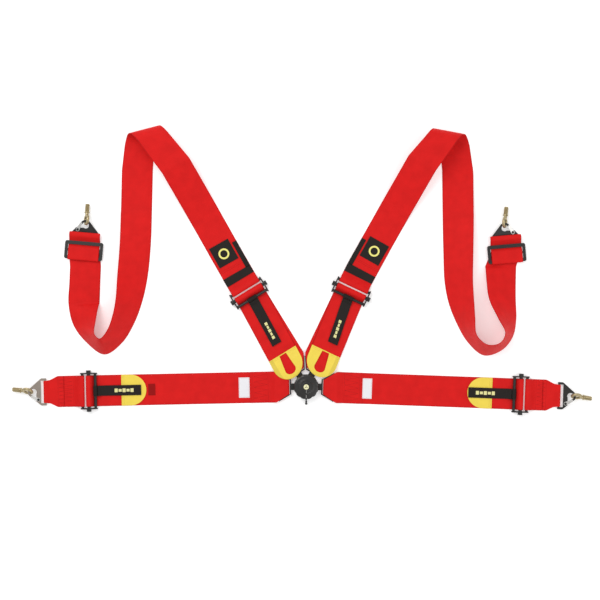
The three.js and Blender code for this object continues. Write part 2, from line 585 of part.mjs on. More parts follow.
// Everything here is in the hook's own frame: its bar lies along Y at the origin and its nose points along X.
function hookPlate(k) {
  const body = outline([[-3, -HOOK_HALF], [HOOK_SHOULDER, -HOOK_HALF], [HOOK_SHOULDER + 2, -HOOK_HALF + 1.2],
    [RING_HOLE_AT + 7.5, -10.5], [RING_HOLE_AT + 7.5, 10.5], [HOOK_SHOULDER + 2, HOOK_HALF - 1.2],
    [HOOK_SHOULDER, HOOK_HALF], [-3, HOOK_HALF], [-3, HOOK_SLOT_HALF + 1], [-HOOK_BAR / 2, HOOK_SLOT_HALF],
    [-HOOK_BAR / 2, -HOOK_SLOT_HALF], [-3, -HOOK_SLOT_HALF - 1]]);
  const z = -HOOK_T / 2;
  const throat = block(-THROAT / 2 - 2.6, THROAT / 2 - 2.6, 0, 40, z - 1, z + HOOK_T + 1);
  throat.scale(1, k, 1);
  throat.translate(RING_HOLE_AT, 0, 0);
  if (k < 0) flip(throat);
  return cutBy(
    solid(plate(body, HOOK_T, z)).add(solid(drum(RING_HOLE_R + HOOK_NOSE, z, z + HOOK_T, 32, RING_HOLE_AT))),
    solid(block(HOOK_BAR / 2, HOOK_SLOT_FRONT, -HOOK_SLOT_HALF, HOOK_SLOT_HALF, z - 1, z + HOOK_T + 1)),
    solid(drum(RING_HOLE_R, z - 1, z + HOOK_T + 1, 28, RING_HOLE_AT)),
    solid(throat),
    solid(drum(RIVET_R + GAP, z - 1, z + HOOK_T + 1, 16, LATCH_PIVOT[0], LATCH_PIVOT[1] * k)));
}

// Turns a mirrored geometry's faces outwards again.
function flip(geometry) {
  const index = geometry.index.array;
  for (let i = 0; i < index.length; i += 3) [index[i], index[i + 1]] = [index[i + 1], index[i]];
  return geometry;
}

function hookLatch(k) {
  const [px, py, tx, ty] = [LATCH_PIVOT[0], LATCH_PIVOT[1] * k, LATCH_TIP[0], LATCH_TIP[1] * k];
  const angle = Math.atan2(ty - py, tx - px);
  const length = Math.hypot(tx - px, ty - py);
  const shape = new THREE.Shape();
  shape.absarc(0, 0, 4.2, Math.PI / 2, Math.PI * 1.5, false);
  shape.absarc(length - 2.4, 0, 2.8, -Math.PI / 2, Math.PI / 2, false);
  shape.closePath();
  const hole = new THREE.Path();
  hole.absarc(0, 0, RIVET_R + GAP, 0, Math.PI * 2, true);
  shape.holes.push(hole);
  const latch = plate(shape, LATCH_T, HOOK_T / 2 + GAP, 8);
  latch.rotateZ(angle);
  latch.translate(px, py, 0);
  return latch;
}

function latchRivet(k) {
  const bottom = -HOOK_T / 2 - GAP;
  const top = HOOK_T / 2 + 2 * GAP + LATCH_T;
  const rivet = turned([[0, bottom - 0.9], [RIVET_R + 1.4, bottom - 0.9], [RIVET_R + 1.4, bottom],
    [RIVET_R, bottom], [RIVET_R, top], [RIVET_R + 1.4, top], [RIVET_R + 1, top + 1], [0, top + 1]], 16);
  rivet.translate(LATCH_PIVOT[0], LATCH_PIVOT[1] * k, 0);
  return rivet;
}

// The eyebolt's ring is centred on the origin in the XZ plane, and its thread runs out along X.
function eyebolt() {
  const ring = new THREE.TorusGeometry(RING_R, RING_WIRE / 2, 10, 20);
  ring.rotateX(Math.PI / 2);
  const shank = turned([[0, RING_R], [4.4, RING_R], [4.4, RING_R + 5.5], [6.6, RING_R + 6], [6.6, RING_R + 7.6],
    [BOLT_R, RING_R + 8.2], [BOLT_R, BOLT_REACH - 0.8], [BOLT_R - 0.8, BOLT_REACH], [0, BOLT_REACH]], 14);
  shank.rotateY(Math.PI / 2);
  return joined(solid(ring), solid(shank));
}

// k is the side of the throat; yaw turns the bolt in its hook.
function anchorEnd(name, parent, position, heading, k, yaw, plateMaterial) {
  const end = new THREE.Group();
  end.position.set(...position);
  end.rotation.z = radians(heading);
  const tilted = new THREE.Group();
  tilted.rotation.y = -HOOK_TILT;
  end.add(tilted);
  parent.add(end);
  add(`${name}_hook_plate`, hookPlate(k), plateMaterial, tilted);
  add(`${name}_hook_latch`, hookLatch(k), BRIGHT_STEEL, tilted);
  add(`${name}_latch_rivet`, latchRivet(k), BLACK_STEEL, tilted);
  const seat = new THREE.Group();
  seat.position.set(RING_SEAT, 0, 0);
  seat.rotation.z = radians(yaw);
  const lean = new THREE.Group();
  lean.position.set(RING_R, 0, 0);
  lean.rotation.x = radians(RING_LEAN * k);
  const bolt = add(`${name}_eyebolt`, eyebolt(), ZINC, lean);
  bolt.rotation.y = radians(BOLT_DROOP);
  seat.add(lean);
  tilted.add(seat);
}

// ---- Lap arms: the strap from the adjuster to the hook ----
const ANCHORS = { left_lap: 631, right_lap: 611 };

function loopRoundBar(x) {
  return arcPoints(LOOP_R, 90, 270, 12, x, BAR_Z);
}

for (const [name, at] of Object.entries(ANCHORS)) {
  const arm = ARMS[name];
  const far = arm.adjuster + BAR_PITCH;
  const seam = (far + at) / 2;
  const points = [[seam - 1, SECOND_Z], [far + 21, SECOND_Z], [far + 6, BAR_Z + 3.4], ...loopRoundBar(far),
    [far + 13, FLOOR_Z], [at - 30, FLOOR_Z], [at - 9, FLOOR_Z], ...arcPoints(HOOK_LOOP_R, -90, 90, 10, at, HOOK_Z),
    [at - 12, SECOND_Z], [at - 30, SECOND_Z], [seam + 1, SECOND_Z]];
  const half = (x) => between(WEB_W / 2, HOOK_WEB_HALF, (x - (at - 30)) / 21);
  add(`${name}_anchor_strap`, strap(points, half), RED, arm.group);
  const left = name === FIXED;
  anchorEnd(name, arm.group, [at, 0, HOOK_Z], 0, left ? 1 : -1, left ? -18 : 3, left ? GREY_STEEL : BLACK_STEEL);
}

// ---- Shoulder arms: the strap from the adjuster over its top fold, down, round a banked bend and up to the hook ----

// Plan layout of each shoulder strap. `upper` is the heading above the adjuster. `fold` is the middle and the
// heading of the top fold's edge. `bend` pairs points on the bend's outer edge, which lies on the surface, with
// points under its raised inner edge. `hook` is the hook's bar and `hookHeading` the way its nose points.
const SHOULDERS = {
  left_shoulder: {
    upper: 119.4, fold: [-391, 618.5], foldAngle: 14.7, hook: [-534.5, 362], hookHeading: 85, throat: 1, yaw: -8,
    bend: [[-371, 523, -446, 523], [-373, 430, -448, 430], [-376, 340, -450, 341], [-384, 262, -454, 266],
      [-397, 204, -455, 214], [-417, 151, -461, 173], [-446, 105, -474, 136], [-488, 77, -491, 117],
      [-532, 107, -503, 128], [-563, 148, -503, 160], [-575, 198, -500, 201], [-573, 252, -498, 253],
      [-571.5, 290, -496.5, 291]],
  },
  right_shoulder: {
    upper: 60.6, fold: [345, 614], foldAngle: -10.6, hook: [481.5, 355], hookHeading: 95, throat: -1, yaw: -3,
    bend: [[329, 523, 404, 523], [330, 420, 404, 421], [332, 320, 401, 322], [335, 252, 399, 258],
      [345, 201, 400, 211], [365, 151, 401, 168], [391, 107, 404, 126], [430, 75, 430, 103],
      [474, 88, 459, 107], [500, 121, 472, 130], [508, 162, 458, 163], [507, 208, 439, 209],
      [507, 252, 434, 253], [508, 290, 433, 290]],
  },
};
const PLAN_W = 75; // width of strap that the bends' rows are laid out for
const FOLD_R = 22; // radius of the loose roll at the top fold
const FOLD_DRIFT = 18; // how far the strap creeps along the roll in each quarter
const CLIMB_FROM = 170; // where the strap starts to rise to the roll
const CLIMB_TO = 335;
const TURN_FROM = 10; // between these the strap turns from the adjuster's heading to its own
const TURN_TO = 60;
const RETURN_L = 112; // sewn return above the adjuster
const PATCH_FROM = 23; // distances from the adjuster's far bar
const PATCH_BAND = 20;
const PATCH_ARM = 12;
const PATCH_TO = 111;
const PATCH_T = 1.2;

const heading = (degrees) => new THREE.Vector3(Math.cos(radians(degrees)), Math.sin(radians(degrees)), 0);

// Maps (distance from the adjuster's far bar, sideways, height) on to a shoulder strap's plan.
function shoulderPlan(arm, upper) {
  const turn = radians(upper - arm.angle);
  const from = radians(arm.angle);
  const radius = (TURN_TO - TURN_FROM) / turn;
  const far = heading(arm.angle).multiplyScalar(arm.adjuster + BAR_PITCH);
  return (s, y, z) => {
    const within = Math.min(Math.max(s - TURN_FROM, 0), TURN_TO - TURN_FROM);
    const now = from + within / radius;
    const at = far.clone().addScaledVector(heading(arm.angle), Math.min(s, TURN_FROM));
    at.x += radius * (Math.sin(now) - Math.sin(from));
    at.y -= radius * (Math.cos(now) - Math.cos(from));
    const ahead = new THREE.Vector3(Math.cos(now), Math.sin(now), 0);
    at.addScaledVector(ahead, Math.max(s - TURN_TO, 0));
    at.addScaledVector(new THREE.Vector3(-ahead.y, ahead.x, 0), y);
    at.z = z;
    return at;
  };
}

// Sections of a ribbon through rulings, each a pair of edge points [right, left] seen along the ribbon.
function ruledSections(rulings) {
  const middles = rulings.map(([right, left]) => right.clone().add(left).multiplyScalar(0.5));
  return rulings.map(([right, left], i) => {
    const ahead = middles[Math.min(i + 1, middles.length - 1)].clone().sub(middles[Math.max(i - 1, 0)]);
    const across = left.clone().sub(right);
    const n = ahead.cross(across).normalize().multiplyScalar(WEB_T / 2);
    return [right.clone().add(n), left.clone().add(n), left.clone().sub(n), right.clone().sub(n)];
  });
}

// The loose roll at the top: half a turn about the fold's edge, with the strap creeping along it.
function foldRulings(plan, side) {
  const edge = heading(plan.foldAngle).multiplyScalar(-side);
  const out = heading(plan.foldAngle + 90);
  const middle = new THREE.Vector3(plan.fold[0], plan.fold[1], 0);
  const steps = 10;
  return Array.from({ length: steps + 1 }, (_, i) => {
    const a = (Math.PI * i) / steps;
    const centre = middle.clone()
      .addScaledVector(out, FOLD_R * (Math.sin(a) - 1))
      .addScaledVector(edge, -FOLD_DRIFT * (2 * a / Math.PI - 1));
    centre.z = FLOOR_Z + FOLD_R * (1 + Math.cos(a));
    const half = edge.clone().multiplyScalar((WEB_W / 2) * side);
    return [centre.clone().sub(half), centre.clone().add(half)];
  });
}

// The banked bend: its outer edge lies on the surface, and its inner edge is as high as the width leaves it.
function bendRulings(plan, side) {
  const curve = (k) => new THREE.CatmullRomCurve3(
    plan.bend.map((row) => new THREE.Vector3(row[k], row[k + 1], 0)), false, 'centripetal');
  const [outer, inner] = [curve(0), curve(2)];
  const last = plan.bend.length - 1;
  const steps = last * 3;
  return Array.from({ length: steps + 1 }, (_, i) => {
    const a = outer.getPoint(i / steps);
    const b = inner.getPoint(i / steps);
    b.sub(a).multiplyScalar(WEB_W / PLAN_W).add(a);
    const across = Math.hypot(b.x - a.x, b.y - a.y);
    a.z = FLOOR_Z;
    b.z = FLOOR_Z + Math.sqrt(Math.max(WEB_W * WEB_W - across * across, 0));
    return side > 0 ? [b, a] : [a, b];
  });
}

// Through the three-bar slide: under its first bar, over the other two and round the last.
function slidePath() {
  const barZ = THIRD_Z + WEB_T / 2 + GAP + SLIDE_T / 2;
  const over = barZ + SLIDE_T / 2 + GAP + WEB_T / 2;
  const last = SLIDE_FAR - SLIDE_L;
  const radius = over - barZ;
  return [[SLIDE_FAR + 2, THIRD_Z], [SLIDE_FAR - SLIDE_BARS[0] - 0.6, THIRD_Z],
    [SLIDE_FAR - SLIDE_BARS[0] - 7.5, over], ...arcPoints(radius, 90, 270, 8, last + 0.4, barZ), [last + 10, barZ - radius]];
}

// Round the hook's bar, then forward into a loose loop above the plate.
function hookLoop() {
  const top = 3.1;
  return [...arcPoints(HOOK_LOOP_R, -90, 0, 5, 0, HOOK_Z), [4.4, HOOK_Z + 3.6],
    ...arcPoints(top, -30, 100, 6, 6.4, HOOK_Z + 5.9), [0, HOOK_Z + 8.6]];
}

for (const [name, plan] of Object.entries(SHOULDERS)) {
  const arm = ARMS[name];
  const side = arm.inner;
  const place = shoulderPlan(arm, plan.upper);
  const full = () => WEB_W / 2;
  const start = bandSections([[RETURN_L, SECOND_Z], [22, SECOND_Z], [6, BAR_Z + 3.4], ...loopRoundBar(0),
    [13, FLOOR_Z], [90, FLOOR_Z]], full, { place });
  const climb = [130, CLIMB_FROM, 195, 220, 245, 270, 295, 315, CLIMB_TO].map((s) => {
    const t = THREE.MathUtils.smoothstep(s, CLIMB_FROM, CLIMB_TO + 40);
    const z = FLOOR_Z + 2 * FOLD_R * t;
    return [place(s, -WEB_W / 2, z), place(s, WEB_W / 2, z)];
  });
  const middle = ruledSections([...climb, ...foldRulings(plan, side), ...bendRulings(plan, side)]);

  // The last stretch is laid out from the hook's bar, with the nose along X.
  const turnHook = heading(plan.hookHeading);
  const sideways = heading(plan.hookHeading + 90);
  const atHook = (x, y, z) => new THREE.Vector3(plan.hook[0], plan.hook[1], z)
    .addScaledVector(turnHook, x).addScaledVector(sideways, y);
  const loop = hookLoop();
  const half = (x, i) => {
    if (i < 1 || x < SLIDE_FAR) return WEB_W / 2;
    return i <= 7 ? HOOK_WEB_HALF : between(HOOK_WEB_HALF, WEB_W / 2, (i - 7) / 3);
  };
  const end = bandSections([[SLIDE_FAR - 16, FLOOR_Z], ...loop, ...slidePath()], half, { place: atHook })
    .map(([a, b, c, d]) => [c, d, a, b]);
  add(`${name}_strap`, loft([...start, ...middle, ...end]), RED);

  // The grip patch is an L: a band across the strap and an arm up the edge that faces the centre line.
  const patchZ = SECOND_Z + WEB_T / 2 + GAP + PATCH_T / 2;
  const patchBand = PATCH_FROM + PATCH_BAND;
  const patchRow = [PATCH_FROM, patchBand, patchBand + 0.1, PATCH_TO];
  const armMiddle = side * (WEB_W / 2 - PATCH_ARM / 2);
  const patch = loft(bandSections(patchRow.map((s) => [s, patchZ]), (s, i) => (i < 2 ? WEB_W / 2 : PATCH_ARM / 2),
    { shiftAt: (s, i) => (i < 2 ? 0 : armMiddle), thickness: PATCH_T, place }));
  add(`${name}_grip_patch`, patch, BLACK_WEB);

  // The three-bar slide is a flat frame that the strap's tail is threaded through.
  const slideZ = THIRD_Z + WEB_T / 2 + GAP;
  const slideShape = outline([[0, -SLIDE_HALF + 3], [-3, -SLIDE_HALF], [3 - SLIDE_L, -SLIDE_HALF],
    [-SLIDE_L, -SLIDE_HALF + 3], [-SLIDE_L, SLIDE_HALF - 3], [3 - SLIDE_L, SLIDE_HALF], [-3, SLIDE_HALF],
    [0, SLIDE_HALF - 3]]);
  const window = SLIDE_HALF - SLIDE_RAIL;
  const gap = (SLIDE_L - SLIDE_BARS[0] - SLIDE_BARS[1] - SLIDE_BARS[2]) / 2;
  const [a, b, c] = [-SLIDE_BARS[0], -SLIDE_BARS[0] - gap, -SLIDE_BARS[0] - gap - SLIDE_BARS[1]];
  const windows = [[b, a], [c - gap, c]].map(([x0, x1]) => solid(block(x0, x1, -window, window, -1, SLIDE_T + 1)));
  const slideBody = cutBy(solid(plate(slideShape, SLIDE_T, 0)), ...windows);
  const slide = add(`${name}_three_bar_slide`, slideBody, BLACK_STEEL);
  slide.rotation.z = radians(plan.hookHeading);
  slide.position.copy(atHook(SLIDE_FAR, 0, slideZ));

  anchorEnd(name, harness, [...plan.hook, HOOK_Z], plan.hookHeading, plan.throat, plan.yaw, BLACK_STEEL);
}

export default harness;
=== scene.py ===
"""Racing harness: webbing, tabs, patches, stitching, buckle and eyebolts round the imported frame."""
import json
import math

import bpy
import numpy as np
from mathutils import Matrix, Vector


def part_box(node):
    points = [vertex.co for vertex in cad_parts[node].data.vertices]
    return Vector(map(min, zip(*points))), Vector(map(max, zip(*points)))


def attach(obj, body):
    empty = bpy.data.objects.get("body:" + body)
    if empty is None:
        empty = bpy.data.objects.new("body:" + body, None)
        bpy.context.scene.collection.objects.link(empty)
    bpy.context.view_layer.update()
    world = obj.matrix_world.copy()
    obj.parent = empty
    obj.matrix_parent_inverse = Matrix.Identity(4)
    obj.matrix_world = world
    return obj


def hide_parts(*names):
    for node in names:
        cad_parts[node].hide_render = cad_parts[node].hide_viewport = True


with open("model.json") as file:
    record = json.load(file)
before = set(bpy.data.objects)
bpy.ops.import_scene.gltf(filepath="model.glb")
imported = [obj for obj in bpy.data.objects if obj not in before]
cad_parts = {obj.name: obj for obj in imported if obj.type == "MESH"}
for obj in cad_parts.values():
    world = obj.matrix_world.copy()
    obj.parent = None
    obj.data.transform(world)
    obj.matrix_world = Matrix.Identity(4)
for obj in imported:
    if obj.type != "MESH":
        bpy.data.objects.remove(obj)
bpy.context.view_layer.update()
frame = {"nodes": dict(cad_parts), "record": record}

bl_info = {
    "name": "Racing Harness",
    "version": (1, 0, 0),
    "blender": (4, 5, 0),
    "location": "View3D > Sidebar > Harness",
    "description": "Webbing, tabs, patches, stitching and hardware of a four-point racing harness",
    "category": "Object",
}

MM = 0.001
# Layout of the webbing, in millimetres, as the frame has it.
GAP = 0.3
TONGUE_TOP = 8.0
TONGUE_LOW = 5.5
TONGUE_REAR = 70.0
WRAP_X = 43.1
RETURN_END = 136.0
TAPER_START = 40.0
NOSE_HALF = 16.4
SPLIT = math.radians((121.5 - 64.7) / 2)
BAR_R = 3.5
BAR_PITCH = 31.0
SLIDER_AT = 16.0
SLIDER_R = 4.5
PULL_T = 2.4
TAB_T = 2.6
HOOK_LOOP_R = math.hypot(2.2, 1.5) + 0.35 + 0.65
HOOK_WEB_HALF = 26.6
FOLD_R = 22.0
FOLD_DRIFT = 18.0
SLIDE_FAR = -12.0
SLIDE_L = 44.0
SLIDE_T = 3.0
PATCH_FROM = 23.0
PATCH_BAND = 20.0
PATCH_ARM = 12.0
PATCH_TO = 111.0
LAP_PULL_L = 60.0
PULL_TIP = 33.6
PULL_ROUND = 0.52
# Where a shoulder arm turns to its own heading, and where it climbs to its top roll.
TURN_FROM = 10.0
TURN_L = 50.0
CLIMB_FROM = 170.0
CLIMB_L = 205.0
BADGE_AT = 97.0
BADGE_HALF = 26.0
LABEL_AT = {"left_lap": 137.0, "right_lap": 133.0}
LABEL_L = 26.0
LABEL_HALF = 24.5
WEAR_PATCH = (365.0, 382.0)

ARMS = {
    "left_shoulder": dict(angle=121.5, bar=249, inner=-1, tab=125, tab_skew=-3.1, skew=-3.1, free=98),
    "right_shoulder": dict(angle=64.7, bar=238, inner=1, tab=117, tab_skew=6.5, skew=3, free=98),
    "left_lap": dict(angle=181.2, bar=509, inner=-1, tab=110, tab_skew=0, skew=0, free=447),
    "right_lap": dict(angle=-2.1, bar=502, inner=1, tab=110, tab_skew=0, skew=0, free=450),
}
LAP_ENDS = {"left_lap": 631, "right_lap": 611}
RING_R = 10.5
RING_WIRE = 7.0
RING_SEAT = 31.5
RING_LEAN = 25.0
RING_ROLL = 24.0
BOLT_REACH = 38.0
THREAD_PITCH = 1.27
# Side of each hook's throat and yaw of its eyebolt.
BOLTS = {"left_lap": (1, -18), "right_lap": (-1, 3), "left_shoulder": (1, -8), "right_shoulder": (-1, -3)}
# Each bend row is a point of the outer edge on the floor, then one under the raised inner edge.
SHOULDERS = {
    "left_shoulder": dict(
        upper=119.4, fold=(-391, 618.5), fold_angle=14.7, hook=(-534.5, 362), heading=85,
        bend=((-371, 523, -446, 523), (-373, 430, -448, 430), (-376, 340, -450, 341),
              (-384, 262, -454, 266), (-397, 204, -455, 214), (-417, 151, -461, 173),
              (-446, 105, -474, 136), (-488, 77, -491, 117), (-532, 107, -503, 128),
              (-563, 148, -503, 160), (-575, 198, -500, 201), (-573, 252, -498, 253),
              (-571.5, 290, -496.5, 291))),
    "right_shoulder": dict(
        upper=60.6, fold=(345, 614), fold_angle=-10.6, hook=(481.5, 355), heading=95,
        bend=((329, 523, 404, 523), (330, 420, 404, 421), (332, 320, 401, 322),
              (335, 252, 399, 258), (345, 201, 400, 211), (365, 151, 401, 168),
              (391, 107, 404, 126), (430, 75, 430, 103), (474, 88, 459, 107),
              (500, 121, 472, 130), (508, 162, 458, 163), (507, 208, 439, 209),
              (507, 252, 434, 253), (508, 290, 433, 290))),
}


# ---- Settings ----
def tint(name, description, default):
    """A colour setting."""
    return bpy.props.FloatVectorProperty(name=name, description=description, subtype="COLOR", default=default)


def length(name, description, default):
    """A length setting in metres."""
    return bpy.props.FloatProperty(name=name, description=description, default=default, unit="LENGTH")


class HarnessWebbing(bpy.types.PropertyGroup):
    width: length("Width", "Width of every strap", 0.075)
    thickness: length("Thickness", "Thickness of the weave", 0.0013)
    colour: tint("Colour", "Dyed polyester", (0.80, 0.013, 0.012))
    # The deep colour is painted shade between the ribs; the darker selvedge bands also use it.
    deep: tint("Deep colour", "Between the ribs", (0.42, 0.004, 0.004))
    rib: length("Rib", "Pitch of the ribs across the strap", 0.0019)


class HarnessTrim(bpy.types.PropertyGroup):
    yellow: tint("Pull tabs", "Coated yellow webbing", (0.96, 0.74, 0.10))
    black: tint("Black trim", "Black webbing and patches", (0.013, 0.011, 0.010))
    label: tint("Labels", "White woven labels", (0.88, 0.87, 0.90))
    thread: tint("Thread", "Seam thread", (0.62, 0.012, 0.012))


class HarnessMetal(bpy.types.PropertyGroup):
    black: tint("Black steel", "Phosphated steel", (0.014, 0.013, 0.012))
    grey: tint("Bare steel", "Worn grey hook plate", (0.24, 0.205, 0.175))
    zinc: tint("Eyebolts", "Yellow zinc plating", (0.34, 0.28, 0.16))
    bright: tint("Bright steel", "Plated small parts", (0.55, 0.54, 0.52))
    knob_lobes: bpy.props.IntProperty(name="Lobes", description="Finger lobes round the knob", default=12)


class HarnessStage(bpy.types.PropertyGroup):
    floor: tint("Floor", "Plain pale floor", (0.90, 0.90, 0.90))
    key: bpy.props.FloatProperty(name="Key light", description="Power of the large soft light", default=42.0,
                                 unit="POWER")
    lens: bpy.props.FloatProperty(name="Lens", description="Focal length in millimetres", default=85.0)
    span: length("Span", "Width of floor in view", 1.452)


# ---- Geometry ----
def turn(points, degrees):
    """Points turned about the vertical through the origin."""
    a = math.radians(degrees)
    c, s = math.cos(a), math.sin(a)
    return np.asarray(points, float) @ np.array([[c, s, 0], [-s, c, 0], [0, 0, 1]])


def arc(radius, start, end, steps, cx, cz):
    """Points (cx + r cos a, cz + r sin a), with the angle going evenly from start to end."""
    a = np.radians(np.linspace(start, end, steps + 1))
    return np.stack([cx + radius * np.cos(a), cz + radius * np.sin(a)], 1)


def band(path, half, shift=0.0):
    """Rulings of a flat band on a line of (x, z): the edges are at y = shift - half and shift + half."""
    path = np.asarray(path, float)
    half = np.broadcast_to(half, len(path))
    shift = np.broadcast_to(shift, len(path))
    right = np.stack([path[:, 0], shift - half, path[:, 1]], 1)
    left = np.stack([path[:, 0], shift + half, path[:, 1]], 1)
    return np.stack([right, left], 1)


def axis_turn(axis, angle):
    """Right-handed rotation matrix about the X, Y or Z axis (0, 1 or 2)."""
    c, s = math.cos(angle), math.sin(angle)
    i, j = (axis + 1) % 3, (axis + 2) % 3
    matrix = np.eye(3)
    matrix[i, i], matrix[j, j], matrix[i, j], matrix[j, i] = c, c, -s, s
    return matrix


def even(rulings, step=1.6, passes=2):
    """Rulings spaced evenly along the mean of the two edges, then smoothed by a 1-2-1 average."""
    gaps = np.linalg.norm(np.diff(rulings, axis=0), axis=2).mean(1)
    along = np.r_[0, np.cumsum(gaps)]
    at = np.linspace(0, along[-1], max(int(along[-1] / step), 4))
    flat = rulings.reshape(len(rulings), 6)
    out = np.stack([np.interp(at, along, flat[:, k]) for k in range(6)], 1)
    for _ in range(passes):
        out[1:-1] = (out[:-2] + 2 * out[1:-1] + out[2:]) / 4
    return out.reshape(-1, 2, 3)


def run_length(rulings):
    """Distance along the band at each ruling."""
    middle = rulings.mean(1)
    return np.r_[0, np.cumsum(np.linalg.norm(np.diff(middle, axis=0), axis=1))]


def frames(rulings):
    """Middle, unit direction across, unit normal and half width of each ruling. The normal is the
    direction of travel crossed with the direction across."""
    right, left = rulings[:, 0], rulings[:, 1]
    middle = (right + left) / 2
    across = left - right
    width = np.linalg.norm(across, axis=1)
    across = across / width[:, None]
    ahead = np.gradient(middle, axis=0)
    normal = np.cross(ahead, across)
    normal /= np.maximum(np.linalg.norm(normal, axis=1), 1e-9)[:, None]
    return middle, across, normal, width / 2


def sweep(rulings, thickness, columns=14, edge=0.55, crown=0.0, lift=0.0):
    """A closed band: a flat profile with rounded edges carried along the rulings. A profile point is
    middle + across (a (half - edge) + c edge) + normal (h thickness / 2 + crown (1 - a a) + lift)."""
    a = np.linspace(-1, 1, columns)
    bend = np.radians([60, 0, -60])
    ones = np.ones(3)
    pa = np.r_[a, ones, a[::-1], -ones]
    pc = np.r_[np.zeros(columns), np.cos(bend), np.zeros(columns), -np.cos(bend)]
    ph = np.r_[np.ones(columns), np.sin(bend), -np.ones(columns), np.sin(bend[::-1])]
    middle, across, normal, half = frames(rulings)
    y = pa[None] * (half[:, None] - edge) + pc[None] * edge
    h = ph * thickness / 2 + crown * (1 - pa * pa) + lift
    points = middle[:, None] + across[:, None] * y[..., None] + normal[:, None] * h[None, :, None]
    v = np.broadcast_to(run_length(rulings)[:, None], y.shape)
    return tube_mesh(points, np.stack([y, v], 2))


def tube_mesh(points, uv=None, caps=True):
    """Vertices, faces and UVs of a grid of rings joined into a tube, each end closed by one face."""
    rows, cols = points.shape[:2]
    i = np.arange(rows - 1)[:, None] * cols
    j = np.arange(cols)[None]
    k = (j + 1) % cols
    quads = np.stack([i + j, i + k, i + cols + k, i + cols + j], 2).reshape(-1, 4)
    faces = quads.tolist()
    if caps:
        faces.append(list(range(cols))[::-1])
        faces.append(list(range((rows - 1) * cols, rows * cols)))
    return points.reshape(-1, 3), faces, None if uv is None else uv.reshape(-1, 2)


def closed_tube(points, uv=None):
    """A grid of rings joined into a tube whose last ring joins its first."""
    verts, faces, uv = tube_mesh(points, uv, caps=False)
    rows, cols = points.shape[:2]
    j = np.arange(cols)
    k = (j + 1) % cols
    last = (rows - 1) * cols
    faces += np.stack([last + j, last + k, k, j], 1).tolist()
    return verts, faces, uv


def torus(radius, wide, high, around, section):
    """Points (r cos a, r sin a, high sin b) with r = radius + wide cos b, a going round the ring and b
    round its section."""
    a = np.linspace(0, 2 * math.pi, around, endpoint=False)[:, None]
    b = np.linspace(0, 2 * math.pi, section, endpoint=False)[None]
    r = radius + wide * np.cos(b)
    return np.stack([r * np.cos(a), r * np.sin(a), np.broadcast_to(high * np.sin(b), (around, section))], 2)


def joined(*parts):
    """Several meshes as one."""
    verts, faces, uvs, base = [], [], [], 0
    for v, f, u in parts:
        verts.append(v)
        faces += [[base + n for n in face] for face in f]
        uvs.append(np.zeros((len(v), 2)) if u is None else u)
        base += len(v)
    return np.concatenate(verts), faces, np.concatenate(uvs)


def piece(name, mesh, body, slot, nodes=(), material=None):
    """Puts millimetre arrays into a mesh in metres, with faces outwards, and rides it on its body. The
    slot's own finish is used unless another is given."""
    verts, faces, uv = mesh
    data = bpy.data.meshes.new(name)
    data.from_pydata((verts * MM).tolist(), [], faces)
    if uv is not None:
        layer = data.uv_layers.new(name="UVMap")
        index = np.empty(len(data.loops), np.int32)
        data.loops.foreach_get("vertex_index", index)
        layer.data.foreach_set("uv", (uv[index] * MM).astype(np.float32).ravel())
    data.validate()
    if signed_volume(data) < 0:
        data.flip_normals()
    data.polygons.foreach_set("use_smooth", np.ones(len(data.polygons), bool))
    data.set_sharp_from_angle(angle=math.radians(40))
    data.materials.append(material or materials()[slot])
    obj = bpy.data.objects.new(name, data)
    bpy.context.scene.collection.objects.link(obj)
    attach(obj, body)
    if nodes:
        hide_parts(*nodes)
    return obj


def signed_volume(data):
    """Volume of a mesh by the sum of its triangles' tetrahedra from the origin."""
    data.calc_loop_triangles()
    tris = np.empty(len(data.loop_triangles) * 3, np.int32)
    data.loop_triangles.foreach_get("vertices", tris)
    co = np.empty(len(data.vertices) * 3)
    data.vertices.foreach_get("co", co)
    p, q, r = co.reshape(-1, 3)[tris.reshape(-1, 3)].transpose(1, 0, 2)
    return float(np.einsum("ij,ij->i", p, np.cross(q, r)).sum() / 6)


def declared(obj, rulings):
    """Measures a band's width across its rulings, which nothing uses, and returns the object unchanged."""
    width = 2 * frames(rulings)[3]
    return obj


def body_of_arm(name):
    """The body that an arm rides on: the left lap arm is riveted to the buckle."""
    return "buckle" if name == "left_lap" else name


# ---- Paths of the webbing ----
def layers(web):
    """Heights of the middle of the first, second and third layer of webbing on the floor."""
    t = web.thickness / MM
    return t / 2, t / 2 + t + GAP, t / 2 + 2 * (t + GAP)


def is_lap(arm):
    """A lap arm's free end lies far out, past the sewn return of its tongue strap."""
    return arm["free"] > RETURN_END + 12


def hook_place(name):
    """Heading of an arm's hook and the place of its bar on the floor."""
    if name in SHOULDERS:
        return SHOULDERS[name]["heading"], SHOULDERS[name]["hook"]
    a = math.radians(ARMS[name]["angle"])
    return ARMS[name]["angle"], (LAP_ENDS[name] * math.cos(a), LAP_ENDS[name] * math.sin(a))


def bar_height(web):
    """Height of the adjusters' bars: the second layer, then the bar, its wraps and their clearances."""
    return layers(web)[1] + BAR_R + GAP + 1.5 * web.thickness / MM + 0.4 + 0.6


def ramp(x, x0, x1, y0, y1):
    """y0 up to x0, y1 past x1, and a straight line between."""
    return y0 + (y1 - y0) * np.clip((x - x0) / (x1 - x0), 0, 1)


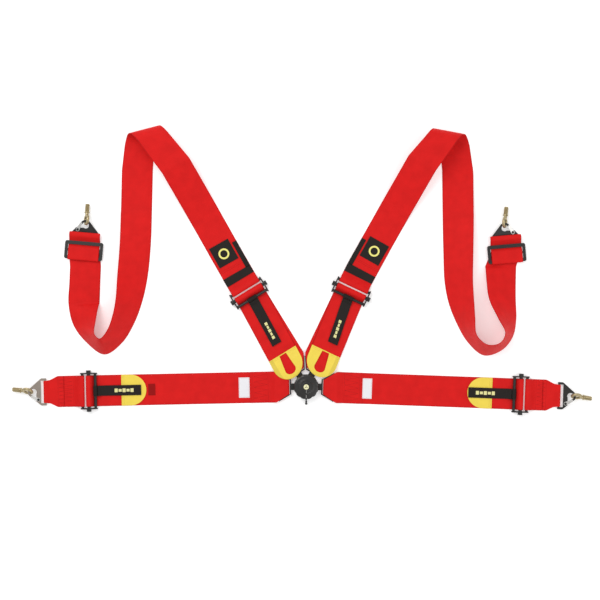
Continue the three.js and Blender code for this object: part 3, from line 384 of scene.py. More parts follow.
def tongue_strap_rulings(arm, web):
    """From the sewn end over the tongue, round its slot, out under the adjuster, over the slider and back."""
    t = web.thickness / MM
    floor, second, third = layers(web)
    bar_z = bar_height(web)
    above, below = TONGUE_TOP + GAP + t / 2, TONGUE_LOW - GAP - t / 2
    slider = arm["bar"] + SLIDER_AT
    wrap = SLIDER_R + 1.2 + t / 2
    under = BAR_R + GAP + t / 2 + t + 0.4
    crossing = math.degrees(math.asin((wrap + under) / SLIDER_AT))
    lap = is_lap(arm)
    ending = [[arm["bar"] - 16, second], [arm["free"], second]] if lap else [
        [arm["bar"] - 16, second], [RETURN_END + 10, second], [RETURN_END + 2, third], [arm["free"], third]]
    head = np.concatenate([
        [[RETURN_END, second], [TONGUE_REAR + 17, second], [TONGUE_REAR + 3, above]],
        arc((above - below) / 2, 90, 270, 10, WRAP_X, (above + below) / 2),
        [[TONGUE_REAR + 3, below], [TONGUE_REAR + 12, floor], [slider - 18, floor]],
        arc(wrap, -90, 90 + crossing, 14, slider, bar_z),
        arc(under, crossing - 90, -90, 4, arm["bar"], bar_z)])
    end = np.array(ending, float)
    half = web.width / MM / 2
    taper = ramp(head[:, 0], TAPER_START, half / math.tan(SPLIT) + 1.6, NOSE_HALF, half)
    skew = math.tan(math.radians(arm["skew"]))
    return even(np.concatenate([band(head, taper), band(end, half, (end[:, 0] - arm["bar"]) * skew)]))


def lap_anchor_rulings(name, web):
    """From the seam, round the adjuster's far bar, out to the hook's bar, round it and back to the seam."""
    t = web.thickness / MM
    floor, second, _ = layers(web)
    bar_z = bar_height(web)
    far, at = ARMS[name]["bar"] + BAR_PITCH, LAP_ENDS[name]
    seam = (far + at) / 2
    path = np.concatenate([
        [[seam - 1, second], [far + 21, second], [far + 6, bar_z + 3.4]],
        arc(BAR_R + 0.45 + t / 2, 90, 270, 12, far, bar_z),
        [[far + 13, floor], [at - 30, floor], [at - 9, floor]],
        arc(HOOK_LOOP_R, -90, 90, 10, at, floor + HOOK_LOOP_R),
        [[at - 12, second], [at - 30, second], [seam + 1, second]]])
    half = web.width / MM / 2
    return even(band(path, ramp(path[:, 0], at - 30, at - 9, half, HOOK_WEB_HALF)))


def shoulder_place(name):
    """Maps rulings laid along (distance from the far bar, sideways, height) on to a shoulder arm's plan,
    which turns on a circle from the adjuster's heading to its own."""
    arm, plan = ARMS[name], SHOULDERS[name]
    start, end = math.radians(arm["angle"]), math.radians(plan["upper"])
    radius = TURN_L / (end - start)

    def place(rulings):
        s, y, z = rulings[..., 0], rulings[..., 1], rulings[..., 2]
        now = start + np.clip(s - TURN_FROM, 0, TURN_L) / radius
        reach = arm["bar"] + BAR_PITCH + np.minimum(s, TURN_FROM)
        past = np.maximum(s - TURN_FROM - TURN_L, 0)
        x = reach * math.cos(start) + radius * (np.sin(now) - math.sin(start)) + past * np.cos(now)
        w = reach * math.sin(start) - radius * (np.cos(now) - math.cos(start)) + past * np.sin(now)
        return np.stack([x - y * np.sin(now), w + y * np.cos(now), z], -1)

    return place


def spline(points, per):
    """Centripetal Catmull-Rom curve through the points, with the ends carried straight on."""
    p = np.concatenate([[2 * points[0] - points[1]], points, [2 * points[-1] - points[-2]]])
    t = np.r_[0, np.cumsum(np.sqrt(np.linalg.norm(np.diff(p, axis=0), axis=1)))]
    i = np.repeat(np.arange(1, len(p) - 2), per)
    f = np.tile(np.arange(per) / per, len(p) - 3)
    i, f = np.r_[i, len(p) - 3], np.r_[f, 1.0]
    x = t[i] + f * (t[i + 1] - t[i])

    def mix(a, b, ta, tb):
        return (a * (tb - x)[:, None] + b * (x - ta)[:, None]) / (tb - ta)[:, None]

    t0, t1, t2, t3 = t[i - 1], t[i], t[i + 1], t[i + 2]
    a1, a2, a3 = mix(p[i - 1], p[i], t0, t1), mix(p[i], p[i + 1], t1, t2), mix(p[i + 1], p[i + 2], t2, t3)
    return mix(mix(a1, a2, t0, t2), mix(a2, a3, t1, t3), t1, t2)


def shoulder_rulings(name, web):
    """The whole shoulder strap: adjuster loop, climb, top roll, banked bend, hook loop and slide."""
    t, width = web.thickness / MM, web.width / MM
    floor, second, third = layers(web)
    half = width / 2
    arm, plan = ARMS[name], SHOULDERS[name]
    side = arm["inner"]
    bar_z = bar_height(web)
    place = shoulder_place(name)
    start = np.concatenate([[[112, second], [22, second], [6, bar_z + 3.4]],
                            arc(BAR_R + 0.45 + t / 2, 90, 270, 12, 0, bar_z), [[13, floor], [90, floor]]])
    s = np.array([130, 170, 195, 220, 245, 270, 295, 315, 335], float)
    f = np.clip((s - CLIMB_FROM) / CLIMB_L, 0, 1)
    climb = np.stack([s, floor + 2 * FOLD_R * f * f * (3 - 2 * f)], 1)
    first = place(band(np.concatenate([start, climb]), half))

    # The roll: half a turn about the fold's edge, creeping along it.
    a = np.linspace(0, math.pi, 24)
    edge_a = math.radians(plan["fold_angle"])
    edge = -side * np.array([math.cos(edge_a), math.sin(edge_a)])
    out = np.array([-math.sin(edge_a), math.cos(edge_a)])
    centre = (np.array(plan["fold"]) + (FOLD_R * (np.sin(a) - 1))[:, None] * out
              - (FOLD_DRIFT * (2 * a / math.pi - 1))[:, None] * edge)
    z = floor + FOLD_R * (1 + np.cos(a))
    reach = edge * half * side
    roll = np.stack([np.c_[centre - reach, z], np.c_[centre + reach, z]], 1)

    # The bend: the outer edge lies on the floor, the inner edge rises by what the width leaves.
    rows = np.array(plan["bend"], float)
    outer, inner = spline(rows[:, :2], 8), spline(rows[:, 2:], 8)
    across = np.linalg.norm(inner - outer, axis=1)
    high = floor + np.sqrt(np.maximum(width ** 2 - across ** 2, 0))
    low_edge, high_edge = np.c_[outer, np.full(len(outer), floor)], np.c_[inner, high]
    bend = np.stack([high_edge, low_edge] if side > 0 else [low_edge, high_edge], 1)

    # At the hook: round its bar into a loose loop, back under the slide's first bar and round its last.
    hook_z = floor + HOOK_LOOP_R
    slide_z = third + t / 2 + GAP + SLIDE_T / 2
    over = slide_z + SLIDE_T / 2 + GAP + t / 2
    last = SLIDE_FAR - SLIDE_L
    path = np.concatenate([
        [[SLIDE_FAR - 16, floor]], arc(HOOK_LOOP_R, -90, 0, 5, 0, hook_z), [[4.4, hook_z + 3.6]],
        arc(3.1, -30, 100, 6, 6.4, hook_z + 5.9), [[0, hook_z + 8.6]],
        [[SLIDE_FAR + 2, third], [SLIDE_FAR - 9.1, third], [SLIDE_FAR - 16, over]],
        arc(over - slide_z, 90, 270, 8, last + 0.4, slide_z), [[last + 10, 2 * slide_z - over]]])
    n = np.arange(len(path))
    narrow = np.where(n < 8, HOOK_WEB_HALF, ramp(n, 7, 10, HOOK_WEB_HALF, half))
    hook = band(path, np.where((n < 1) | (path[:, 0] < SLIDE_FAR), half, narrow))[:, ::-1]
    hook = turn(hook, plan["heading"]) + np.array([*plan["hook"], 0])
    return even(np.concatenate([first, roll, bend, hook]))


def webbing_band(path, arm, half, shift=0.0, step=1.2, passes=2):
    """Even rulings of a band along (x, z) points of an arm, turned to the arm's direction."""
    return turn(even(band(path, half, shift), step, passes), arm["angle"])


def pull_tab_mesh(arm, web):
    """A rounded plate. Rings run from the finger hole's outline to the tab's outline: a point is
    hole + t (outline - hole), matched by angle, and its height follows the strap below."""
    t = web.thickness / MM
    width = web.width / MM
    _, second, third = layers(web)
    lap = is_lap(arm)
    start = arm["free"] - GAP
    tip = start - LAP_PULL_L if lap else PULL_TIP
    turn_r = width * PULL_ROUND
    skew = math.tan(math.radians(arm["skew"]))
    low = (second if lap else third) - t / 2 + PULL_T / 2
    high = low if lap else TONGUE_TOP + GAP + t + GAP + PULL_T / 2

    # The outline as a polar curve: a straight edge at the free end and an ellipse at the tip.
    x = np.concatenate([np.linspace(start, tip + turn_r, 24),
                        tip + turn_r - turn_r * np.sin(np.radians(np.linspace(3, 90, 44)))])
    k = np.clip((tip + turn_r - x) / turn_r, 0, 1)
    half = width / 2 * np.sqrt(np.maximum(1 - k * k, 0))
    outline = np.concatenate([np.c_[x, half], np.c_[x[::-1][1:], -half[::-1][1:]]])
    back = np.linspace(-1, 1, 20)[1:-1]
    outline = np.concatenate([outline, np.c_[np.full(18, start), back * width / 2]])
    if lap:
        centre = np.array([(start + tip + turn_r) / 2 - 4, 0.0])
        hole = centre + (outline - centre) * 0.004
    else:
        # The hole widens from the free end to a half ellipse near the tip.
        centre = np.array([(start + tip + 16) / 2, 0.0])
        a = np.arctan2(outline[:, 1], outline[:, 0] - centre[0])
        b = np.radians(np.linspace(0, 180, 61))
        curve = np.c_[tip + 22 - 11.5 * np.sin(b), 13.5 * np.cos(b)]
        side = np.c_[np.linspace(start - 2.5, tip + 22, 40)[:-1], np.linspace(9, 13.5, 40)[:-1]]
        end = np.c_[np.full(21, start - 2.5), np.linspace(-9, 9, 21)]
        wedge = np.concatenate([end[1:-1], side, curve, side[::-1] * (1, -1)]) - centre
        angle = np.arctan2(wedge[:, 1], wedge[:, 0])
        order = np.argsort(angle)
        reach = np.interp(a, angle[order], np.hypot(wedge[:, 0], wedge[:, 1])[order], period=2 * math.pi)
        hole = centre + np.c_[reach * np.cos(a), reach * np.sin(a)]
    rings = np.linspace(0, 1, 12)
    flat = hole[None] + rings[:, None, None] * (outline - hole)[None]
    z = ramp(flat[..., 0], TONGUE_REAR + 21, TONGUE_REAR + 4.5, low, high)
    rim = np.clip(np.minimum(1 if lap else rings * 8, (1 - rings) * 9), 0, 1)[:, None]
    thick = PULL_T / 2 * (0.62 + 0.38 * rim)
    y = flat[..., 1] + (flat[..., 0] - arm["bar"]) * skew
    top = np.stack([flat[..., 0], y, z + thick], 2)
    low_face = np.stack([flat[..., 0], y, z - thick], 2)[::-1]
    shell = np.concatenate([top, low_face])
    uv = np.stack([shell[..., 1], shell[..., 0]], 2)
    verts, faces, uv = closed_tube(shell, uv)
    return turn(verts, arm["angle"]), faces, uv


def release_tab_rulings(arm, web):
    """From the tip of the tail up over the adjuster's bar, round it and back on to the tail."""
    t = web.thickness / MM
    _, second, _ = layers(web)
    bar_z = bar_height(web)
    lap = is_lap(arm)
    on_free = second + t / 2 + GAP + TAB_T / 2
    rise = PULL_T - t if lap else t + GAP
    step = arm["free"] + 10 if lap else RETURN_END + 22
    loop = BAR_R + GAP + t / 2
    start = arm["bar"] - loop + 1.6
    tail = [[arm["bar"] - arm["tab"], on_free + rise], [step - 8, on_free + rise], [step, on_free],
            [start - 13, on_free], [start - 3, bar_z + 1.2]]
    return np.array(tail, float), arc(loop, 200, -150, 22, arm["bar"], bar_z)


def beads(a, b, normal, radius):
    """One closed stitch for each pair of points: a six-sided ellipsoid from a to b, flattened on the cloth."""
    along = b - a
    length = np.linalg.norm(along, axis=1)[:, None]
    along = along / length
    side = np.cross(normal, along)
    side /= np.linalg.norm(side, axis=1)[:, None]
    rings = np.radians([-62, -25, 25, 62])
    spokes = np.radians(np.arange(0, 360, 60))
    mid = (a + b) / 2
    f = np.sin(rings)[None, :, None, None] * 1.08
    c = np.cos(rings)[None, :, None, None] * radius
    grid = (mid[:, None, None] + along[:, None, None] * length[:, None, None] / 2 * f
            + side[:, None, None] * c * np.cos(spokes)[None, None, :, None]
            + normal[:, None, None] * c * 0.6 * np.sin(spokes)[None, None, :, None])
    count, rows, cols = grid.shape[:3]
    base = (np.arange(count) * rows * cols)[:, None, None]
    i = np.arange(rows - 1)[None, :, None] * cols
    j = np.arange(cols)[None, None]
    k = (j + 1) % cols
    quads = np.stack([base + i + j, base + i + k, base + i + cols + k, base + i + cols + j], 3).reshape(-1, 4)
    low = (base[:, 0] + np.arange(cols)[::-1][None]).tolist()
    high = (base[:, 0] + (rows - 1) * cols + np.arange(cols)[None]).tolist()
    return grid.reshape(-1, 3), quads.tolist() + low + high, None


def seam(points, normals, pitch=3.2, radius=0.42, gap=0.28):
    """Stitches of even length along a line of points on the cloth."""
    run = np.r_[0, np.cumsum(np.linalg.norm(np.diff(points, axis=0), axis=1))]
    count = max(int(run[-1] / pitch), 1)
    start = np.arange(count) * run[-1] / count
    end = start + run[-1] / count * (1 - gap)

    def at(s, values):
        return np.stack([np.interp(s, run, values[:, k]) for k in range(3)], 1)

    normal = at((start + end) / 2, normals)
    return beads(at(start, points), at(end, points), normal / np.linalg.norm(normal, axis=1)[:, None], radius)


def on_arm(arm, rows, z):
    """Points (x, y) along an arm at a height, turned to the arm, with upward normals."""
    rows = np.asarray(rows, float)
    points = turn(np.c_[rows, np.broadcast_to(z, len(rows))], arm["angle"])
    return points, np.tile([0.0, 0.0, 1.0], (len(rows), 1))


def on_shoulder(name, rows, z):
    """Points (s, y) up a shoulder strap from its adjuster, with upward normals."""
    rows = np.asarray(rows, float)
    points = shoulder_place(name)(np.c_[rows, np.broadcast_to(z, len(rows))])
    return points, np.tile([0.0, 0.0, 1.0], (len(rows), 1))


def box_rows(x0, x1, y0, y1):
    """The corners of a rectangle, ending where they start."""
    return [(x0, y0), (x1, y0), (x1, y1), (x0, y1), (x0, y0)]


def across_row(x, half, inset=3):
    """Two points across a strap, a little in from its edges."""
    return [(x, inset - half), (x, half - inset)]


def zigzag(x0, x1, y0, y1, turns):
    """A zigzag between two lines along the strap, going across it."""
    y = np.linspace(y0, y1, 2 * turns + 1)
    x = np.where(np.arange(2 * turns + 1) % 2 == 0, x0, x1)
    return np.c_[x, y]


def lathe(profile, segments=96, lobes=0, depth=0.0, from_radius=0.0, closed=False):
    """A profile of (radius, height) turned about the vertical. Past from_radius the radius is scaled by
    1 - depth ((1 + cos(lobes angle)) / 2) squared. A closed profile joins its last ring to its first."""
    profile = np.asarray(profile, float)
    a = np.linspace(0, 2 * math.pi, segments, endpoint=False)
    r = np.broadcast_to(profile[:, :1], (len(profile), segments))
    dent = 1 - depth * (0.5 + 0.5 * np.cos(lobes * a)) ** 2
    r = np.where(r > from_radius, r * dent[None], r)
    z = np.broadcast_to(profile[:, 1:], r.shape)
    points = np.stack([r * np.cos(a), r * np.sin(a), z], 2)
    return (closed_tube if closed else tube_mesh)(points[::-1])


def rounded(points, radius=0.6, steps=3):
    """A polyline whose corners are cut by short quadratic curves."""
    p = np.asarray(points, float)
    out = [p[:1]]
    for a, b, c in zip(p[:-2], p[1:-1], p[2:]):
        before, after = np.linalg.norm(a - b), np.linalg.norm(c - b)
        r = min(radius, before * 0.45, after * 0.45)
        s, e = b + (a - b) / before * r, b + (c - b) / after * r
        t = np.linspace(0, 1, steps + 1)[:, None]
        out.append((1 - t) ** 2 * s + 2 * t * (1 - t) * b + t * t * e)
    return np.concatenate([*out, p[-1:]])


# ---- Node groups ----
def new_group(name, inputs, outputs):
    """A shader node group with its sockets, and its input and output nodes."""
    group = bpy.data.node_groups.new(name, "ShaderNodeTree")
    for label, kind, default in inputs:
        made = group.interface.new_socket(name=label, in_out="INPUT", socket_type=kind)
        if default is not None:
            made.default_value = default
    for label, kind in outputs:
        group.interface.new_socket(name=label, in_out="OUTPUT", socket_type=kind)
    return group, group.nodes.new("NodeGroupInput"), group.nodes.new("NodeGroupOutput")


def maths(tree, operation, *values):
    """A Math node fed by sockets or numbers; returns its output."""
    node = tree.nodes.new("ShaderNodeMath")
    node.operation = operation
    for slot_in, value in zip(node.inputs, values):
        if isinstance(value, (int, float)):
            slot_in.default_value = value
        else:
            tree.links.new(value, slot_in)
    return node.outputs[0]


def weave_group():
    """Twill weave from a UV map in metres: ribs along the strap, and picks that step from rib to rib."""
    name = "Harness weave"
    if name in bpy.data.node_groups:
        return bpy.data.node_groups[name]
    group, gin, gout = new_group(name, [("UV", "NodeSocketVector", None), ("Rib", "NodeSocketFloat", 0.0019),
                                        ("Pick", "NodeSocketFloat", 0.0024)],
                                 [("Height", "NodeSocketFloat"), ("Shade", "NodeSocketFloat"),
                                  ("Edge", "NodeSocketFloat")])
    split = group.nodes.new("ShaderNodeSeparateXYZ")
    group.links.new(gin.outputs["UV"], split.inputs[0])
    u, v = split.outputs[0], split.outputs[1]
    turns_u = maths(group, "DIVIDE", u, gin.outputs["Rib"])
    turns_v = maths(group, "DIVIDE", v, gin.outputs["Pick"])
    rib = maths(group, "ABSOLUTE", maths(group, "SINE", maths(group, "MULTIPLY", turns_u, math.pi)))
    step = maths(group, "MULTIPLY", maths(group, "FLOOR", turns_u), 0.5)
    pick = maths(group, "ABSOLUTE", maths(group, "SINE", maths(
        group, "MULTIPLY", maths(group, "ADD", turns_v, step), math.pi)))
    height = maths(group, "MULTIPLY", maths(group, "POWER", rib, 0.6), maths(
        group, "ADD", maths(group, "MULTIPLY", pick, 0.55), 0.45))
    group.links.new(height, gout.inputs["Height"])
    noise = group.nodes.new("ShaderNodeTexNoise")
    noise.inputs["Scale"].default_value = 38
    noise.inputs["Detail"].default_value = 4
    group.links.new(gin.outputs["UV"], noise.inputs["Vector"])
    # Shade: painted shade in the weave's valleys, from the height, plus random tone from the noise.
    shade = maths(group, "ADD", maths(group, "MULTIPLY", height, 0.55),
                  maths(group, "MULTIPLY", noise.outputs["Fac"], 0.55))
    group.links.new(shade, gout.inputs["Shade"])
    edge = maths(group, "SMOOTH_MIN", 1.0, maths(group, "MULTIPLY", maths(
        group, "MAXIMUM", maths(group, "SUBTRACT", maths(group, "ABSOLUTE", u), 0.0352), 0.0), 600.0), 0.05)
    group.links.new(edge, gout.inputs["Edge"])
    return group


def wear_group():
    """Fine grain and soft blotches on Object coordinates, for metal and coatings."""
    name = "Harness wear"
    if name in bpy.data.node_groups:
        return bpy.data.node_groups[name]
    group, gin, gout = new_group(name, [("Scale", "NodeSocketFloat", 60.0)],
                                 [("Blotch", "NodeSocketFloat"), ("Grain", "NodeSocketFloat")])
    coords = group.nodes.new("ShaderNodeTexCoord")
    for label, factor, detail in (("Blotch", 1.0, 5), ("Grain", 14.0, 2)):
        noise = group.nodes.new("ShaderNodeTexNoise")
        noise.inputs["Detail"].default_value = detail
        group.links.new(coords.outputs["Object"], noise.inputs["Vector"])
        group.links.new(maths(group, "MULTIPLY", gin.outputs["Scale"], factor), noise.inputs["Scale"])
        group.links.new(noise.outputs["Fac"], gout.inputs[label])
    return group


def dimmed(colour, factor):
    """A colour times a factor."""
    return tuple(c * factor for c in colour)


def shader(name):
    """A material with a Principled BSDF, and its tree."""
    material = bpy.data.materials.new(name)
    material.use_nodes = True
    tree = material.node_tree
    return material, tree, tree.nodes["Principled BSDF"]


def placed(tree, group):
    """A node that uses a node group."""
    node = tree.nodes.new("ShaderNodeGroup")
    node.node_tree = group
    return node


def blend_colour(tree, factor, dark, light):
    """The colour dark (1 - factor) + light factor; either end is a colour or a socket."""
    mix = tree.nodes.new("ShaderNodeMix")
    mix.data_type = "RGBA"
    tree.links.new(factor, mix.inputs["Factor"])
    for socket, value in ((mix.inputs["A"], dark), (mix.inputs["B"], light)):
        if isinstance(value, bpy.types.NodeSocket):
            tree.links.new(value, socket)
        else:
            socket.default_value = (*value, 1)
    return mix.outputs["Result"]


def bumped(tree, bsdf, height, strength, distance):
    """Tilts the shader's normal by the slope of a height."""
    bump = tree.nodes.new("ShaderNodeBump")
    bump.inputs["Strength"].default_value = strength
    bump.inputs["Distance"].default_value = distance
    tree.links.new(height, bump.inputs["Height"])
    tree.links.new(bump.outputs["Normal"], bsdf.inputs["Normal"])


def webbing_material(name, colour, deep, rib=0.0019, roughness=0.62, pick=0.0024, sheen=0.04):
    """Woven webbing: ribs and picks from the UV map, painted shade between them and darker selvedges."""
    if name in bpy.data.materials:
        return bpy.data.materials[name]
    material, tree, bsdf = shader(name)
    uv = tree.nodes.new("ShaderNodeUVMap")
    uv.uv_map = "UVMap"
    weave = placed(tree, weave_group())
    tree.links.new(uv.outputs[0], weave.inputs["UV"])
    weave.inputs["Rib"].default_value = rib
    weave.inputs["Pick"].default_value = pick
    # Painted shade: the colour darkens to the deep colour in the valleys between ribs and picks; the noise part is
    # random tone.
    colour_out = blend_colour(tree, weave.outputs["Shade"], deep, colour)
    edge = maths(tree, "MULTIPLY", weave.outputs["Edge"], 0.8)
    colour_out = blend_colour(tree, edge, colour_out, deep)
    tree.links.new(colour_out, bsdf.inputs["Base Color"])
    bsdf.inputs["Roughness"].default_value = roughness
    bsdf.inputs["Specular IOR Level"].default_value = 0.12
    bsdf.inputs["Sheen Weight"].default_value = sheen
    bsdf.inputs["Sheen Roughness"].default_value = 0.4
    bumped(tree, bsdf, weave.outputs["Height"], 0.5, 0.0003)
    return material


def metal_material(name, colour, roughness, metallic, scale=60.0, coat=0.0, lighter=1.5):
    """Metal or coated metal: blotched colour and roughness, with a fine grain in the bump."""
    if name in bpy.data.materials:
        return bpy.data.materials[name]
    material, tree, bsdf = shader(name)
    wear = placed(tree, wear_group())
    wear.inputs["Scale"].default_value = scale
    colour = tuple(colour)
    light = tuple(min(c * lighter + 0.004, 1) for c in colour)
    tree.links.new(blend_colour(tree, wear.outputs["Blotch"], colour, light), bsdf.inputs["Base Color"])
    rough = maths(tree, "ADD", maths(tree, "MULTIPLY", wear.outputs["Blotch"], 0.25), roughness - 0.12)
    tree.links.new(rough, bsdf.inputs["Roughness"])
    bsdf.inputs["Metallic"].default_value = metallic
    bsdf.inputs["Coat Weight"].default_value = coat
    bumped(tree, bsdf, wear.outputs["Grain"], 0.12, 0.0002)
    return material


def materials():
    """Every finish by its slot in the record."""
    scene = bpy.context.scene
    web, trim, metal = scene.harness_webbing, scene.harness_trim, scene.harness_metal
    return {
        "red_webbing": webbing_material("Red webbing", web.colour, web.deep, web.rib),
        "yellow_tab": webbing_material("Yellow webbing", trim.yellow, dimmed(trim.yellow, 0.72),
                                       0.0016, 0.5, 0.0016),
        "black_webbing": webbing_material("Black webbing", dimmed(trim.black, 1.9), trim.black,
                                          0.0014, 0.75, 0.0014, 0.03),
        "black_steel": metal_material("Black phosphated steel", metal.black, 0.42, 0.35),
        "grey_steel": metal_material("Worn bare steel", metal.grey, 0.42, 0.85, 90.0),
        "black_alloy": metal_material("Black anodised alloy", dimmed(metal.black, 0.8), 0.32, 0.3,
                                      40.0, 0.3),
        "bright_steel": metal_material("Bright plated steel", metal.bright, 0.3, 0.95),
        "zinc": metal_material("Yellow zinc plating", metal.zinc, 0.34, 0.9, 70.0),
        "emblem": metal_material("Cap enamel", (0.80, 0.77, 0.45), 0.35, 0.0, 60.0, 0.5, 1.08),
    }


# ---- Operators ----
class HARNESS_OT_straps(bpy.types.Operator):
    """Red webbing: tongue straps, lap anchor straps and shoulder straps"""
    bl_idname = "harness.straps"
    bl_label = "Webbing straps"

    def execute(self, context):
        web = context.scene.harness_webbing
        t = web.thickness / MM
        for name, arm in ARMS.items():
            rulings = turn(tongue_strap_rulings(arm, web), arm["angle"])
            obj = piece(f"web_{name}_tongue", sweep(rulings, t), body_of_arm(name), "red_webbing",
                        (f"{name}_tongue_strap",))
            declared(obj, rulings)
        for name in LAP_ENDS:
            rulings = turn(lap_anchor_rulings(name, web), ARMS[name]["angle"])
            obj = piece(f"web_{name}_anchor", sweep(rulings, t), body_of_arm(name), "red_webbing",
                        (f"{name}_anchor_strap",))
            declared(obj, rulings)
        for name in SHOULDERS:
            rulings = shoulder_rulings(name, web)
            obj = piece(f"web_{name}_long", sweep(rulings, t), name, "red_webbing", (f"{name}_strap",))
            declared(obj, rulings)
        return {"FINISHED"}


class HARNESS_OT_pull_tabs(bpy.types.Operator):
    """Yellow pull tabs on the free ends"""
    bl_idname = "harness.pull_tabs"
    bl_label = "Pull tabs"

    def execute(self, context):
        web = context.scene.harness_webbing
        for name, arm in ARMS.items():
            piece(f"tab_{name}_pull", pull_tab_mesh(arm, web), body_of_arm(name), "yellow_tab",
                  (f"{name}_pull_tab",))
        return {"FINISHED"}


class HARNESS_OT_release_tabs(bpy.types.Operator):
    """Black release tabs round the adjusters' bars, with their printed bars"""
    bl_idname = "harness.release_tabs"
    bl_label = "Release tabs"

    def execute(self, context):
        web = context.scene.harness_webbing
        pale = webbing_material("Pale print", (0.80, 0.76, 0.36), (0.70, 0.66, 0.28), 0.001, 0.6, 0.001)
        t = web.thickness / MM
        for name, arm in ARMS.items():
            tail, loop = release_tab_rulings(arm, web)
            skew = math.tan(math.radians(arm["tab_skew"]))
            shift = (tail[:, 0] - arm["bar"]) * skew
            mesh = joined(sweep(webbing_band(tail, arm, 12.5, shift), TAB_T, edge=1.0),
                          sweep(webbing_band(loop, arm, 12.6, 0.0, 0.8, 1), t))
            body = f"{name}_tab"
            piece(f"tab_{name}_release", mesh, body, "black_webbing", (f"{name}_release_tab",))
            self.print_bars(name, arm, tail, skew, body, pale)
            edge = 10.6
            x0 = tail[0, 0] + 2.2
            rows = [(tail[2, 0] - 10, edge), (x0, edge), (x0, -edge), (tail[2, 0] - 10, -edge)]
            rows = [(x, y + (x - arm["bar"]) * skew) for x, y in rows]
            points, normals = on_arm(arm, rows, tail[0, 1] + TAB_T / 2)
            piece(f"seam_{name}_release", seam(points, normals, 2.6, 0.3), body, "black_webbing")
        return {"FINISHED"}

    def print_bars(self, name, arm, tail, skew, body, material):
        """A generic mark of rounded blocks in a row, raised a little above the tab."""
        long, width, inset = (48.0, 9.0, 18) if is_lap(arm) else (46.0, 7.0, 15)
        blocks = 5
        pitch = long / blocks
        parts = []
        for i in range(blocks):
            x0 = tail[0, 0] + inset + i * pitch
            rows = np.array([[x0, 0], [x0 + pitch * 0.78, 0]])
            z = np.interp(rows[:, 0], tail[:, 0], tail[:, 1]) + TAB_T / 2 + 0.18
            shift = (rows[:, 0] - arm["bar"]) * skew
            flat = webbing_band(np.c_[rows[:, 0], z], arm, width / 2 * (0.72 if i % 2 else 1.0), shift, 1.0, 0)
            parts.append(sweep(flat, 0.36, 6, 0.25))
        piece(f"mark_{name}_release", joined(*parts), body, "yellow_tab", material=material)


class HARNESS_OT_patches(bpy.types.Operator):
    """Black grip patches, woven badges and white labels"""
    bl_idname = "harness.patches"
    bl_label = "Patches and labels"

    def execute(self, context):
        web = context.scene.harness_webbing
        trim = context.scene.harness_trim
        t = web.thickness / MM
        half = web.width / MM / 2
        floor, second, _ = layers(web)
        top = second + t / 2 + GAP
        for name in SHOULDERS:
            side = ARMS[name]["inner"]
            place = shoulder_place(name)
            z = top + 0.6
            across = place(even(band([[PATCH_FROM, z], [PATCH_FROM + PATCH_BAND, z]], half), 1.2, 0))
            up = place(even(band([[PATCH_FROM + PATCH_BAND - 1, z], [PATCH_TO, z]], PATCH_ARM / 2,
                                 side * (half - PATCH_ARM / 2)), 1.2, 0))
            piece(f"patch_{name}_grip", joined(sweep(across, 1.2, edge=0.5), sweep(up, 1.2, 6, 0.5)),
                  name, "black_webbing", (f"{name}_grip_patch",))
            self.badge(name, place, side, top)
        white = webbing_material("White label", trim.label, dimmed(trim.label, 0.86), 0.0008, 0.7, 0.0008, 0.05)
        for name, x0 in LABEL_AT.items():
            arm = ARMS[name]
            body = body_of_arm(name)
            z = floor + t / 2 + 0.25
            flat = webbing_band([[x0, z], [x0 + LABEL_L, z]], arm, LABEL_HALF, 0.0, 1.2, 0)
            piece(f"label_{name}", sweep(flat, 0.4, 10, 0.2), body, "yellow_tab", material=white)
            points, normals = on_arm(arm, box_rows(x0 + 1.4, x0 + LABEL_L - 1.4, 1.5 - LABEL_HALF,
                                                   LABEL_HALF - 1.5), z + 0.2)
            piece(f"seam_label_{name}", seam(points, normals, 2.4, 0.28), body, "red_webbing")
        arm = ARMS["left_lap"]
        z = floor + t / 2 + 0.3
        flat = webbing_band([[x, z] for x in WEAR_PATCH], arm, 14, 0.0, 1.2, 0)
        deep = webbing_material("Dark red patch", (0.36, 0.006, 0.006), (0.2, 0.003, 0.003), 0.001, 0.7)
        piece("patch_left_lap_wear", sweep(flat, 0.5, 8, 0.25), "buckle", "red_webbing", material=deep)
        return {"FINISHED"}

    def badge(self, name, place, side, top):
        """A square woven badge with a plain ring raised on it."""
        s = np.array([71.0, 98, 110, 120, 124.5])
        z = np.array([top, top, top, top - 0.9, top - 1.3]) + 0.45
        off = -side * 4.5
        rulings = place(even(band(np.c_[s, z], BADGE_HALF, off), 1.2))
        piece(f"badge_{name}", sweep(rulings, 0.9, 12, 0.4), name, "black_webbing")
        pale = webbing_material("Badge thread", (0.92, 0.88, 0.30), (0.80, 0.74, 0.20), 0.001, 0.6, 0.001)
        ring = place(torus(11.0, 2.1, 0.25, 64, 12) + (BADGE_AT, off, top + 1.1))
        piece(f"badge_{name}_ring", closed_tube(ring), name, "yellow_tab", material=pale)


